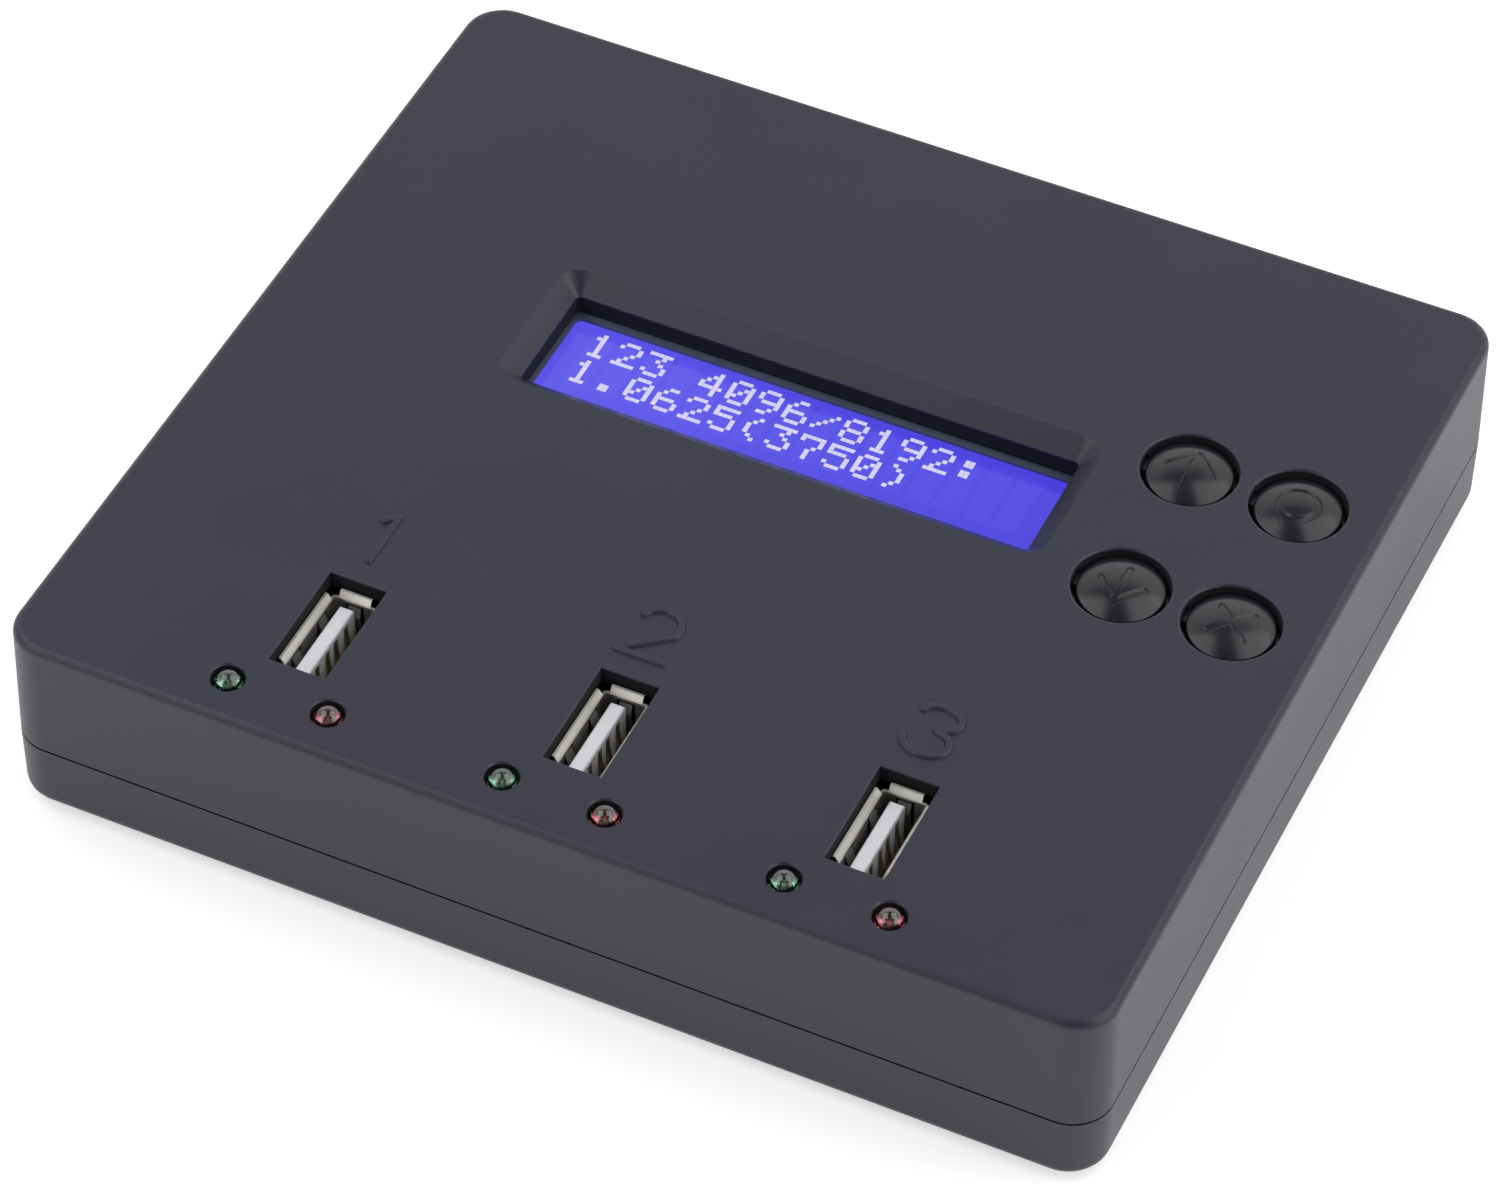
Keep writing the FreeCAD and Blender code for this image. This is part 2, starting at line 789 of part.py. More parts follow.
def bottom_cover():
    """Lower half of the case: floor, walls, locating lip, screw towers and board pillars."""
    piece = Piece("bottom_cover")
    base = piece.sketch(rise=rim_z)
    rectangle(base, 0, 0, size.case_width, size.case_depth)
    piece.pad(base, rim_z - floor_z, down=True, taper=-size.draft_angle)
    piece.fillet(size.corner_radius, upright)
    piece.fillet(size.bottom_edge_radius, at_level(floor_z))
    hollow = piece.sketch(rise=rim_z)
    rounded(hollow, 0, 0, inner_width, inner_depth, inner_radius)
    piece.pocket(hollow, rim_z - inner_floor_z)
    lip = piece.sketch(rise=rim_z)
    thick = size.lip_thickness
    rounded(lip, 0, 0, inner_width + 2 * thick, inner_depth + 2 * thick, inner_radius + thick)
    rounded(lip, 0, 0, inner_width, inner_depth, inner_radius)
    piece.pad(lip, lip_z - rim_z)
    towers = piece.sketch(rise=floor_z)
    for side_x, side_y in CORNERS:
        circle(towers, side_x * boss_x, side_y * boss_y, size.tower_diameter)
    piece.pad(towers, edge_z - floor_z)
    ribs = piece.sketch(rise=inner_floor_z)
    rectangle(ribs, 0, -boss_y / 2, inner_width, size.rib_thickness)
    rib = piece.pad(ribs, size.rib_height)
    piece.row(rib, "Y_Axis", 3, boss_y / 2)
    cross_ribs = piece.sketch(rise=inner_floor_z)
    rectangle(cross_ribs, -boss_x / 2, 0, size.rib_thickness, inner_depth)
    cross_rib = piece.pad(cross_ribs, size.rib_height)
    piece.row(cross_rib, "X_Axis", 3, boss_x / 2)
    pillars = piece.sketch(rise=inner_floor_z)
    for number in PORTS:
        circle(pillars, port_x(number) + size.port_pitch / 2, size.port_y, size.pillar_diameter)
    circle(pillars, port_x(PORTS[0]) - size.port_pitch / 2, size.port_y, size.pillar_diameter)
    circle(pillars, size.button_x + size.button_pitch_x / 2, size.button_y + size.button_pitch_y / 2,
           size.pillar_diameter)
    piece.pad(pillars, board_under_z - inner_floor_z)
    shafts = piece.sketch(rise=floor_z)
    for side_x, side_y in CORNERS:
        circle(shafts, side_x * boss_x, side_y * boss_y,
               size.case_screw_diameter + 2 * size.screw_clearance)
    piece.pocket(shafts, edge_z - floor_z, up=True)
    seats = piece.sketch(rise=floor_z)
    for side_x, side_y in CORNERS:
        circle(seats, side_x * boss_x, side_y * boss_y, size.case_screw_head + 2 * size.screw_clearance)
    piece.pocket(seats, size.head_seat_depth, up=True)
    recesses = piece.sketch(rise=floor_z)
    for x, y in foot_places():
        circle(recesses, x, y, size.foot_diameter + 2 * size.foot_clearance)
    piece.pocket(recesses, size.foot_recess, up=True)
    sub_part(piece)


def foot_places():
    """Centres of the four feet."""
    for side_x, side_y in CORNERS:
        yield (side_x * (size.case_width / 2 - size.foot_inset_x),
               side_y * (size.case_depth / 2 - size.foot_inset_y))


def rubber_feet():
    """Four tapered feet, stuck in their recesses."""
    feet = [cone(x, y, 0, size.foot_diameter - 2 * size.foot_taper, size.foot_diameter, size.foot_height)
            for x, y in foot_places()]
    sub_part(group("rubber_feet", feet))


def case_screws():
    """Four screws up through the towers into the corner bosses."""
    screws = [screw(side_x * boss_x, side_y * boss_y, head_seat_z, size.case_screw_diameter,
                    size.case_screw_length, size.case_screw_head, size.case_screw_head_height, up=True)
              for side_x, side_y in CORNERS]
    sub_part(group("case_screws", screws))


# Main board


def port_pin_holes(sketch, x):
    """Holes under one receptacle and its two lights."""
    slack = 2 * size.pin_clearance
    for offset in (-size.contact_outer, -size.contact_inner, size.contact_inner, size.contact_outer):
        rectangle(sketch, x + contact_line(), size.port_y + offset,
                  size.contact_sheet + slack, size.contact_width + slack)
    for side in (-1, 1):
        rectangle(sketch, x, size.port_y + side * (size.shell_length - size.shell_sheet) / 2,
                  size.leg_width + slack, size.shell_sheet + slack)
        for lead in (-1, 1):
            rectangle(sketch, x + side * size.led_offset_x + lead * size.led_lead_spacing / 2, size.led_y,
                      size.led_lead + slack, size.led_lead + slack)


def main_board():
    """Printed circuit board that carries ports, lights, switches and power inlet."""
    piece = Piece("main_board", z=board_under_z)
    right = inner_width / 2 - size.board_wall_gap
    back = inner_depth / 2 - size.board_edge_gap
    notch = size.board_notch
    quarter = [(right, back - notch), (right - notch, back - notch), (right - notch, back)]
    edge = piece.sketch()
    outline(edge, [
        *quarter,
        *[(-x, y) for x, y in reversed(quarter)],
        *[(-x, -y) for x, y in quarter],
        *[(x, -y) for x, y in reversed(quarter)],
    ])
    piece.pad(edge, size.board_thickness)
    mounting = piece.sketch(rise=size.board_thickness)
    for x, y in board_boss_places():
        circle(mounting, x, y, size.board_screw_diameter + 2 * size.screw_clearance)
    for x, y in spacer_places():
        circle(mounting, x, y, size.spacer_stud + 2 * size.pin_clearance)
    piece.pocket(mounting)
    port_holes = piece.sketch(rise=size.board_thickness)
    port_pin_holes(port_holes, port_x(PORTS[0]))
    piece.row(piece.pocket(port_holes), "X_Axis", len(PORTS), size.port_pitch)
    header_holes = piece.sketch(rise=size.board_thickness)
    hole = size.header_pin + 2 * size.pin_clearance
    rectangle(header_holes, *header_pin_place(0), hole, hole)
    piece.row(piece.pocket(header_holes), "X_Axis", HEADER_PINS, size.header_pitch)
    switch_holes = piece.sketch(rise=size.board_thickness)
    for _, column, row in BUTTONS:
        for x, y in terminal_places(*button_place(column, row)):
            rectangle(switch_holes, x, y, size.terminal_sheet + 2 * size.pin_clearance,
                      size.terminal_width + 2 * size.pin_clearance)
    piece.pocket(switch_holes)
    jack_holes = piece.sketch(rise=size.board_thickness)
    for y in (jack_pin_tail_y(), jack_leaf_tail_y()):
        rectangle(jack_holes, size.jack_x, y, size.jack_tail_width + 2 * size.pin_clearance,
                  size.jack_tail_thickness + 2 * size.pin_clearance)
    piece.pocket(jack_holes)
    sub_part(piece)


def board_screws():
    """Four screws up through the board into the bosses of the top cover."""
    screws = [screw(x, y, board_under_z, size.board_screw_diameter, size.board_screw_length,
                    size.board_screw_head, size.board_screw_head_height, up=True)
              for x, y in board_boss_places()]
    sub_part(group("board_screws", screws))


# Receptacles


def tongue_x():
    """Middle of the tongue, counted from the middle of its receptacle."""
    return -size.tongue_offset


def contact_face():
    """Side of the tongue that carries the contacts."""
    return tongue_x() + size.tongue_thickness / 2


def contact_line():
    """Middle of a contact's straight lower part."""
    return contact_face() - size.contact_sheet


straight_top = size.receptacle_height - size.lip_rise
tongue_top = straight_top - size.tongue_recess
half_width = size.shell_width / 2
half_length = size.shell_length / 2


def flared_lips(piece):
    """Four lips at the mouth, bent outwards to lead a plug in."""
    for role, wall, span, mirror in (("XZ_Plane", half_width, size.long_lip, "YZ_Plane"),
                                     ("YZ_Plane", half_length, size.short_lip, "XZ_Plane")):
        profile = piece.sketch(role)
        outline(profile, [
            (wall - size.shell_sheet, straight_top),
            (wall, straight_top),
            (wall + size.lip_flare, size.receptacle_height),
            (wall + size.lip_flare - size.shell_sheet, size.receptacle_height),
        ])
        piece.mirror([piece.pad(profile, span, both=True)], mirror)


def finger_windows(piece):
    """Openings in the walls that leave each spring finger free."""
    opening_width = size.finger_width + 2 * size.finger_gap
    opening_height = size.finger_length + size.finger_gap
    middle = size.finger_root + opening_height / 2
    wide = piece.sketch("YZ_Plane", rise=half_width)
    for side in (-1, 1):
        rectangle(wide, side * size.finger_offset, middle, opening_width, opening_height)
    piece.pocket(wide, size.shell_width)
    narrow = piece.sketch("XZ_Plane", rise=half_length)
    rectangle(narrow, 0, middle, opening_width, opening_height)
    piece.pocket(narrow, size.shell_length)


def spring_fingers(piece):
    """Fingers that grip the plug: up from the wall, in to a knee and out again."""
    knee = size.finger_root + size.finger_length * 0.65
    tip = size.finger_root + size.finger_length
    foot = size.finger_root - size.finger_gap
    for role, wall, offsets, mirror in (
            ("XZ_Plane", half_width, (-size.finger_offset, size.finger_offset), "YZ_Plane"),
            ("YZ_Plane", half_length, (measure(0),), "XZ_Plane")):
        fingers = []
        for offset in offsets:
            profile = piece.sketch(role, rise=offset)
            inner = wall - size.shell_sheet
            outline(profile, [
                (inner, foot), (wall, foot), (wall, size.finger_root), (wall - size.finger_bend, knee),
                (wall, tip), (inner, tip), (inner - size.finger_bend, knee), (inner, size.finger_root),
            ])
            fingers.append(piece.pad(profile, size.finger_width, both=True))
        piece.mirror(fingers, mirror)


def receptacle_shell(number):
    """Drawn metal shell: tube, flared lips, spring fingers and two legs through the board."""
    piece = Piece(f"usb_{number}_shell", x=port_x(number), y=size.port_y, z=board_z)
    outer = piece.sketch()
    rounded(outer, 0, 0, size.shell_width, size.shell_length, size.shell_corner)
    piece.pad(outer, straight_top)
    inner = piece.sketch(rise=straight_top)
    sheet = size.shell_sheet
    rounded(inner, 0, 0, size.shell_width - 2 * sheet, size.shell_length - 2 * sheet,
            size.shell_corner - sheet)
    piece.pocket(inner)
    flared_lips(piece)
    finger_windows(piece)
    spring_fingers(piece)
    legs = piece.sketch()
    for side in (-1, 1):
        rectangle(legs, 0, side * (half_length - sheet / 2), size.leg_width, sheet)
    piece.pad(legs, size.board_thickness + size.tail_length, down=True)
    sub_part(piece)


def receptacle_tongue(number):
    """White insulator: base block in the shell and the tongue that carries the contacts."""
    piece = Piece(f"usb_{number}_tongue", x=port_x(number), y=size.port_y, z=board_z)
    slack = 2 * (size.shell_sheet + size.insulator_clearance)
    base = piece.sketch()
    rounded(base, 0, 0, size.shell_width - slack, size.shell_length - slack,
            size.shell_corner - size.shell_sheet)
    piece.pad(base, size.insulator_base)
    blade = piece.sketch()
    rectangle(blade, tongue_x(), 0, size.tongue_thickness, size.tongue_length)
    piece.pad(blade, tongue_top)
    piece.fillet(size.tongue_tip_radius, at_level(tongue_top))
    slots = piece.sketch(rise=tongue_top - size.slot_start)
    low = contact_face() - size.slot_depth
    high = contact_face() + size.slot_reach
    for offset in (-size.contact_outer, -size.contact_inner, size.contact_inner, size.contact_outer):
        rectangle(slots, (low + high) / 2, offset, high - low, size.slot_width)
    piece.pocket(slots, tongue_top)
    sub_part(piece)


def receptacle_contacts(number):
    """Four sprung contacts that bow out of their slots and end as tails under the board."""
    piece = Piece(f"usb_{number}_contacts", x=port_x(number), y=size.port_y, z=board_z)
    line = contact_line()
    half = size.contact_sheet / 2
    top = tongue_top - size.slot_start - 2 * half
    knee = top - (top - size.insulator_base) / 2
    path = [
        (line, -(size.board_thickness + size.tail_length)),
        (line, size.insulator_base + half),
        (line + size.contact_bow, knee),
        (line + size.contact_bow, knee + 4 * half),
        (line, top - 4 * half),
        (line, top),
    ]
    strips = []
    for offset in (size.contact_inner, size.contact_outer):
        profile = piece.sketch("XZ_Plane", rise=offset)
        outline(profile, [(x + half, z) for x, z in path] + [(x - half, z) for x, z in reversed(path)])
        strips.append(piece.pad(profile, size.contact_width, both=True))
    piece.mirror(strips, "XZ_Plane")
    sub_part(piece)


# Status lights


led_z = top_z + size.led_proud - size.led_height
LED_SIDES = (("green", -1), ("red", 1))


def led(number, colour, side):
    """Moulded lens with its flange and its domed crown just above the roof."""
    x = port_x(number) + side * size.led_offset_x
    crown = size.led_height - size.led_diameter / 2
    lens = fuse(cylinder(x, size.led_y, led_z, size.led_flange, size.led_flange_height),
                cylinder(x, size.led_y, led_z, size.led_diameter, crown),
                ball(x, size.led_y, led_z + crown, size.led_diameter / 2))
    sub_part(named(lens, f"led_{number}_{colour}"))


def led_leads():
    """Two square leads under each light, down through the board."""
    leads = []
    for number in PORTS:
        for _, side in LED_SIDES:
            x = port_x(number) + side * size.led_offset_x
            for lead in (-1, 1):
                leads.append(block(x + lead * size.led_lead_spacing / 2, size.led_y, tail_z,
                                   size.led_lead, size.led_lead, led_z - tail_z))
    sub_part(group("led_leads", leads))


def led_spacers():
    """Tubes that hold the lights up at the roof."""
    tubes = []
    for number in PORTS:
        for _, side in LED_SIDES:
            x = port_x(number) + side * size.led_offset_x
            tubes.append(cut(cylinder(x, size.led_y, board_z, size.led_spacer_diameter, led_z - board_z),
                             cylinder(x, size.led_y, board_z, size.led_spacer_bore, led_z - board_z)))
    sub_part(group("led_spacers", tubes))


# Display module


def spacer_places():
    """Centres of the display module's four mounting holes."""
    for side_x, side_y in CORNERS:
        yield (size.display_x + side_x * size.module_hole_x / 2,
               size.display_y + side_y * size.module_hole_y / 2)


def header_pin_place(number):
    """Place of a pin in the row that joins the module to the main board."""
    first = size.display_x - size.module_width / 2 + size.header_start
    return (first + number * size.header_pitch,
            size.display_y + size.module_breadth / 2 - size.header_edge)


def display_board():
    """Carrier board of the display module."""
    piece = Piece("display_board", z=module_under_z)
    edge = piece.sketch()
    rectangle(edge, size.display_x, size.display_y, size.module_width, size.module_breadth)
    piece.pad(edge, size.module_board)
    holes = piece.sketch(rise=size.module_board)
    for x, y in spacer_places():
        circle(holes, x, y, size.module_hole)
    piece.pocket(holes)
    row = piece.sketch(rise=size.module_board)
    hole = size.header_pin + 2 * size.pin_clearance
    rectangle(row, *header_pin_place(0), hole, hole)
    piece.row(piece.pocket(row), "X_Axis", HEADER_PINS, size.header_pitch)
    sub_part(piece)


def display_bezel():
    """Folded metal frame that holds glass and backlight on the carrier board."""
    piece = Piece("display_bezel", x=size.display_x, y=size.display_y, z=module_z)
    outer = piece.sketch()
    rectangle(outer, 0, 0, size.bezel_width, size.bezel_breadth)
    piece.pad(outer, size.bezel_height)
    piece.fillet(size.bezel_sheet, at_level(size.bezel_height))
    inner = piece.sketch()
    rectangle(inner, 0, 0, size.bezel_width - 2 * size.bezel_sheet, size.bezel_breadth - 2 * size.bezel_sheet)
    piece.pocket(inner, size.bezel_height - size.bezel_sheet, up=True)
    view = piece.sketch(rise=size.bezel_height)
    rounded(view, 0, 0, size.view_width, size.view_breadth, size.bezel_corner)
    piece.pocket(view)
    sub_part(piece)


def display_layer(label, z, height):
    """Flat layer that fills the bezel from side to side."""
    slack = 2 * (size.bezel_sheet + size.module_inner_gap)
    layer = block(size.display_x, size.display_y, z, size.bezel_width - slack,
                  size.bezel_breadth - slack, height)
    sub_part(named(layer, label))


def display_header():
    """Plastic strip between the two boards, with a hole for each pin."""
    strip_height = module_under_z - board_z
    x, y = header_pin_place((HEADER_PINS - 1) / 2)
    strip = Piece("display_header", z=board_z)
    body = strip.sketch()
    rectangle(body, x, y, HEADER_PINS * size.header_pitch, size.header_body)
    strip.pad(body, strip_height)
    hole = size.header_pin + size.pin_clearance
    row = strip.sketch(rise=strip_height)
    rectangle(row, *header_pin_place(0), hole, hole)
    strip.row(strip.pocket(row), "X_Axis", HEADER_PINS, size.header_pitch)
    sub_part(strip)


def display_header_pins():
    """Square pins through both boards."""
    pins = [block(*header_pin_place(number), tail_z, size.header_pin, size.header_pin,
                  module_z + size.tail_length / 2 - tail_z)
            for number in range(HEADER_PINS)]
    sub_part(group("display_header_pins", pins))


def display_spacers():
    """Threaded spacers that carry the display module, each with a stud in the main board."""
    spacers = []
    for x, y in spacer_places():
        tube = cylinder(x, y, board_z, size.spacer_diameter, module_under_z - board_z)
        stud = cylinder(x, y, board_under_z, size.spacer_stud, size.board_thickness)
        bore = cylinder(x, y, board_under_z, size.display_screw_diameter + 2 * size.screw_bite,
                        module_under_z - board_under_z)
        spacers.append(cut(fuse(tube, stud), bore))
    sub_part(group("display_spacers", spacers))


def display_screws():
    """Four small screws down through the module into its spacers."""
    screws = [screw(x, y, module_z, size.display_screw_diameter, size.display_screw_length,
                    size.display_screw_head, size.display_screw_head_height, up=False)
              for x, y in spacer_places()]
    sub_part(group("display_screws", screws))


# Buttons and switches


flange_top_z = roof_z - size.flange_clearance
plunger_top_z = board_z + size.plunger_height
cap_rim_z = top_z - size.cap_rim_depth


def button_cap(name, x, y):
    """Domed cap with a hollow skirt, a flange under the roof, a key and a stem to the switch."""
    piece = Piece(f"{name}_button", x=x, y=y)
    radius = size.cap_diameter / 2
    crown_z = cap_rim_z + size.cap_rise
    bend = (radius * radius + size.cap_rise * size.cap_rise) / (2 * size.cap_rise)
    flange_z = flange_top_z - size.flange_height
    hollow_z = crown_z - size.cap_rise - size.cap_crown
    profile = piece.sketch("XZ_Plane")
    outline(profile, [
        (0, plunger_top_z),
        (size.stem_diameter / 2, plunger_top_z),
        (size.stem_diameter / 2, hollow_z),
        (radius - size.cap_wall, hollow_z),
        (radius - size.cap_wall, flange_z),
        (size.flange_diameter / 2, flange_z),
        (size.flange_diameter / 2, flange_top_z),
        (radius, flange_top_z),
        (radius, cap_rim_z),
        (0, crown_z),
    ], {8: -bend})
    piece.turn(profile)
    piece.fillet(size.cap_edge, ring_at(cap_rim_z, size.cap_diameter))
    key = piece.sketch(rise=flange_top_z)
    reach = size.button_hole / 2 + size.key_reach - radius + size.cap_wall / 2
    rectangle(key, -(radius - size.cap_wall / 2 + reach / 2), 0, reach, size.key_width)
    piece.pad(key, top_z - size.key_depth - size.key_clearance - flange_top_z)
    sub_part(piece)


def switch_base(name, x, y):
    """Moulded cup of a tactile switch."""
    piece = Piece(f"{name}_switch_base", x=x, y=y, z=board_z)
    square = piece.sketch()
    rectangle(square, 0, 0, size.switch_side, size.switch_side)
    piece.pad(square, size.switch_body)
    cavity = piece.sketch(rise=size.switch_body)
    circle(cavity, 0, 0, size.switch_cavity)
    piece.pocket(cavity, size.switch_body - size.switch_floor)
    sub_part(piece)


def switch_plunger(name, x, y):
    """Plunger of a tactile switch: stem through the plate, flange under it, nub on the dome."""
    flange_z = board_z + size.switch_body - size.plunger_slack - size.plunger_flange_height
    nub_z = board_z + size.switch_floor + size.dome_rise
    stem = cylinder(x, y, flange_z, size.plunger_diameter, plunger_top_z - flange_z)
    flange = cylinder(x, y, flange_z, size.plunger_flange, size.plunger_flange_height)
    nub = cylinder(x, y, nub_z, size.plunger_nub, flange_z - nub_z)
    sub_part(named(fuse(stem, flange, nub), f"{name}_switch_plunger"))


def switch_dome(name, x, y):
    """Sprung metal disc that snaps when the plunger presses its crown."""
    piece = Piece(f"{name}_switch_dome", x=x, y=y, z=board_z + size.switch_floor)
    radius = size.dome_diameter / 2
    rise = size.dome_rise
    inner_radius_at_floor = radius - 2 * size.dome_sheet
    inner_rise = rise - size.dome_sheet
    outer_bend = (radius * radius + rise * rise) / (2 * rise)
    inner_bend = (inner_radius_at_floor * inner_radius_at_floor + inner_rise * inner_rise) / (2 * inner_rise)
    profile = piece.sketch("XZ_Plane")
    outline(profile, [(inner_radius_at_floor, 0), (radius, 0), (0, rise), (0, inner_rise)],
            {1: -outer_bend, 3: inner_bend})
    piece.turn(profile)
    sub_part(piece)


def terminal_places(x, y):
    """Centres of a switch's four terminals."""
    for side_x, side_y in CORNERS:
        yield (x + side_x * (size.switch_side + size.terminal_sheet) / 2,
               y + side_y * size.terminal_offset)


def switch_plates_and_terminals():
    """Metal plates on the four switches and the terminals at their sides."""
    plates = []
    terminals = []
    for _, column, row in BUTTONS:
        x, y = button_place(column, row)
        plate = block(x, y, board_z + size.switch_body, size.switch_side, size.switch_side, size.switch_plate)
        hole = cylinder(x, y, board_z + size.switch_body, size.plunger_diameter + 2 * size.plunger_slack,
                        size.switch_plate)
        plates.append(cut(plate, hole))
        for terminal_x, terminal_y in terminal_places(x, y):
            terminals.append(block(terminal_x, terminal_y, tail_z, size.terminal_sheet,
                                   size.terminal_width, board_z + size.terminal_rise - tail_z))
    sub_part(group("switch_plates", plates))
    sub_part(group("switch_terminals", terminals))


# Power inlet


jack_back = inner_depth / 2 - size.jack_wall_clearance
jack_nose_end = size.case_depth / 2 - size.jack_nose_sink


def jack_pin_tail_y():
    """Place of the centre pin's tail, behind the bottom of the bore."""
    return jack_nose_end - size.jack_bore_depth - size.jack_tail_thickness


def jack_leaf_tail_y():
    """Place of the sleeve contact's tail."""
    return jack_back - size.jack_length / 3


def jack_housing():
    """Moulded inlet: block on the board, round nose through the wall, bore for the plug."""
    piece = Piece("jack_housing")
    block_sketch = piece.sketch(rise=board_z)
    rectangle(block_sketch, size.jack_x, jack_back - size.jack_length / 2, size.jack_width, size.jack_length)
    piece.pad(block_sketch, size.jack_height)
    nose = piece.sketch("XZ_Plane", rise=-jack_nose_end)
    circle(nose, size.jack_x, jack_axis_z, size.jack_nose)
    piece.pad(nose, jack_nose_end - jack_back + size.jack_length / 2)
    bore = piece.sketch("XZ_Plane", rise=-jack_nose_end)
    circle(bore, size.jack_x, jack_axis_z, size.jack_bore)
    piece.pocket(bore, size.jack_bore_depth, up=True)
    pin_hole = piece.sketch("XZ_Plane", rise=-jack_nose_end)
    circle(pin_hole, size.jack_x, jack_axis_z, size.jack_pin + size.pin_clearance)
    piece.pocket(pin_hole, size.jack_bore_depth + 2 * size.jack_tail_thickness, up=True)
    tails = piece.sketch(rise=board_z)
    for y in (jack_pin_tail_y(), jack_leaf_tail_y()):
        rectangle(tails, size.jack_x, y, size.jack_tail_width + size.pin_clearance,
                  size.jack_tail_thickness + size.pin_clearance)
    piece.pocket(tails, size.jack_axis_height, up=True)
    sub_part(piece)


def jack_pin():
    """Centre pin with its tail."""
    piece = Piece("jack_pin")
    rod = piece.sketch("XZ_Plane", rise=-(jack_nose_end - size.jack_pin_sink))
    circle(rod, size.jack_x, jack_axis_z, size.jack_pin)
    piece.pad(rod, jack_nose_end - size.jack_pin_sink - jack_pin_tail_y())
    tail = piece.sketch(rise=tail_z)
    rectangle(tail, size.jack_x, jack_pin_tail_y(), size.jack_tail_width, size.jack_tail_thickness)
    piece.pad(tail, jack_axis_z - tail_z - size.pin_clearance)
    sub_part(piece)


def jack_leaf():
    """Sleeve contact under the bore, with its tail."""
    foot_z = jack_axis_z - size.jack_bore / 2 - size.jack_leaf_sheet
    tail = block(size.jack_x, jack_leaf_tail_y(), tail_z, size.jack_tail_width, size.jack_tail_thickness,
                 foot_z - tail_z)
    sub_part(named(tail, "jack_sleeve_contact"))


# Components on the main board


def controller_chip():
    """Square package with a row of leads along each side."""
    piece = Piece("controller_chip", x=size.controller_x, y=size.controller_y, z=board_z)
    package = piece.sketch(rise=size.chip_lead_thickness)
    rectangle(package, 0, 0, size.controller_side, size.controller_side)
    piece.pad(package, size.controller_height)
    first = -(CHIP_LEADS_PER_SIDE - 1) / 2 * size.chip_lead_pitch
    span = size.controller_side + 2 * size.chip_lead_reach
    along = piece.sketch()
    rectangle(along, first, 0, size.chip_lead_width, span)
    piece.row(piece.pad(along, 2 * size.chip_lead_thickness), "X_Axis", CHIP_LEADS_PER_SIDE,
              size.chip_lead_pitch)
    across = piece.sketch()
    rectangle(across, 0, first, span, size.chip_lead_width)
    piece.row(piece.pad(across, 2 * size.chip_lead_thickness), "Y_Axis", CHIP_LEADS_PER_SIDE,
              size.chip_lead_pitch)
    sub_part(piece)


def small_components():
    """Memory chip, crystal can, regulator and the two filter capacitors."""
    y = size.controller_y
    memory = block(size.memory_x, y, board_z, size.memory_side, size.memory_side, size.memory_height)
    sub_part(named(memory, "memory_chip"))
    crystal = block(size.crystal_x, y, board_z, size.crystal_length, size.crystal_width, size.crystal_height)
    sub_part(named(crystal, "crystal_can"))
    regulator = block(size.regulator_x, size.regulator_y, board_z, size.regulator_length,
                      size.regulator_width, size.regulator_height)
    sub_part(named(regulator, "voltage_regulator"))
    cans = []
    for number in range(2):
        x = size.capacitor_x + number * size.capacitor_pitch
        foot = block(x, size.capacitor_y, board_z, size.capacitor_base, size.capacitor_base,
                     size.capacitor_base_height)
        can = cylinder(x, size.capacitor_y, board_z, size.capacitor_diameter, size.capacitor_height)
        cans.append(fuse(foot, can))
    sub_part(group("filter_capacitors", cans))


def build():
    """Make every piece of the object."""
    top_cover()
    bottom_cover()
    rubber_feet()
    case_screws()
    main_board()
    board_screws()
    for number in PORTS:
        receptacle_shell(number)
        receptacle_tongue(number)
        receptacle_contacts(number)
        for colour, side in LED_SIDES:
            led(number, colour, side)
    led_leads()
    led_spacers()
    display_board()
    display_bezel()
    glass_z = bezel_z - size.bezel_sheet - size.glass_thickness
    display_layer("display_glass", glass_z, size.glass_thickness)
    display_layer("display_backlight", module_z, glass_z - module_z)
    display_header()
    display_header_pins()
    display_spacers()
    display_screws()
    for name, column, row in BUTTONS:
        x, y = button_place(column, row)
        button_cap(name, x, y)
        switch_base(name, x, y)
        switch_plunger(name, x, y)
        switch_dome(name, x, y)
    switch_plates_and_terminals()
    jack_housing()
    jack_pin()
    jack_leaf()
    controller_chip()
    small_components()


CUTTING = ("PartDesign::Pocket", "PartDesign::SubtractiveLoft")


def check():
    """Stop if a feature failed, a cut removed nothing or a piece isn't a sound solid."""
    DOC.recompute()
    for thing in DOC.Objects:
        if {"Invalid", "Error"} & set(thing.State):
            raise RuntimeError(f"{thing.Name} of {thing.Label} failed: {thing.State}")
        if thing.TypeId in CUTTING and thing.Shape.Volume > thing.BaseFeature.Shape.Volume - 1e-6:
            raise RuntimeError(f"{thing.Name} of {thing.getParentGeoFeatureGroup().Label} cuts nothing")
    for thing in SUB_PARTS:
        if thing.Shape.isNull() or not thing.Shape.isValid() or not thing.Shape.Solids:
            raise RuntimeError(f"{thing.Label} isn't a sound solid")


def export():
    """Write each piece to a file of its own."""
    os.makedirs("parts", exist_ok=True)
    for thing in SUB_PARTS:
        thing.Shape.exportStep(f"parts/{thing.Label}.step")
    print(len(SUB_PARTS), "nodes,", sum(len(thing.Shape.Solids) for thing in SUB_PARTS), "solids")


build()
check()
export()
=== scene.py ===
"""Looks of a desktop copier for flash drives: finishes, numerals, icons, lit display and studio."""

import json
import logging
import math
from dataclasses import dataclass
from enum import Enum

import bmesh
import bpy
import numpy as np
from mathutils import Matrix, Vector


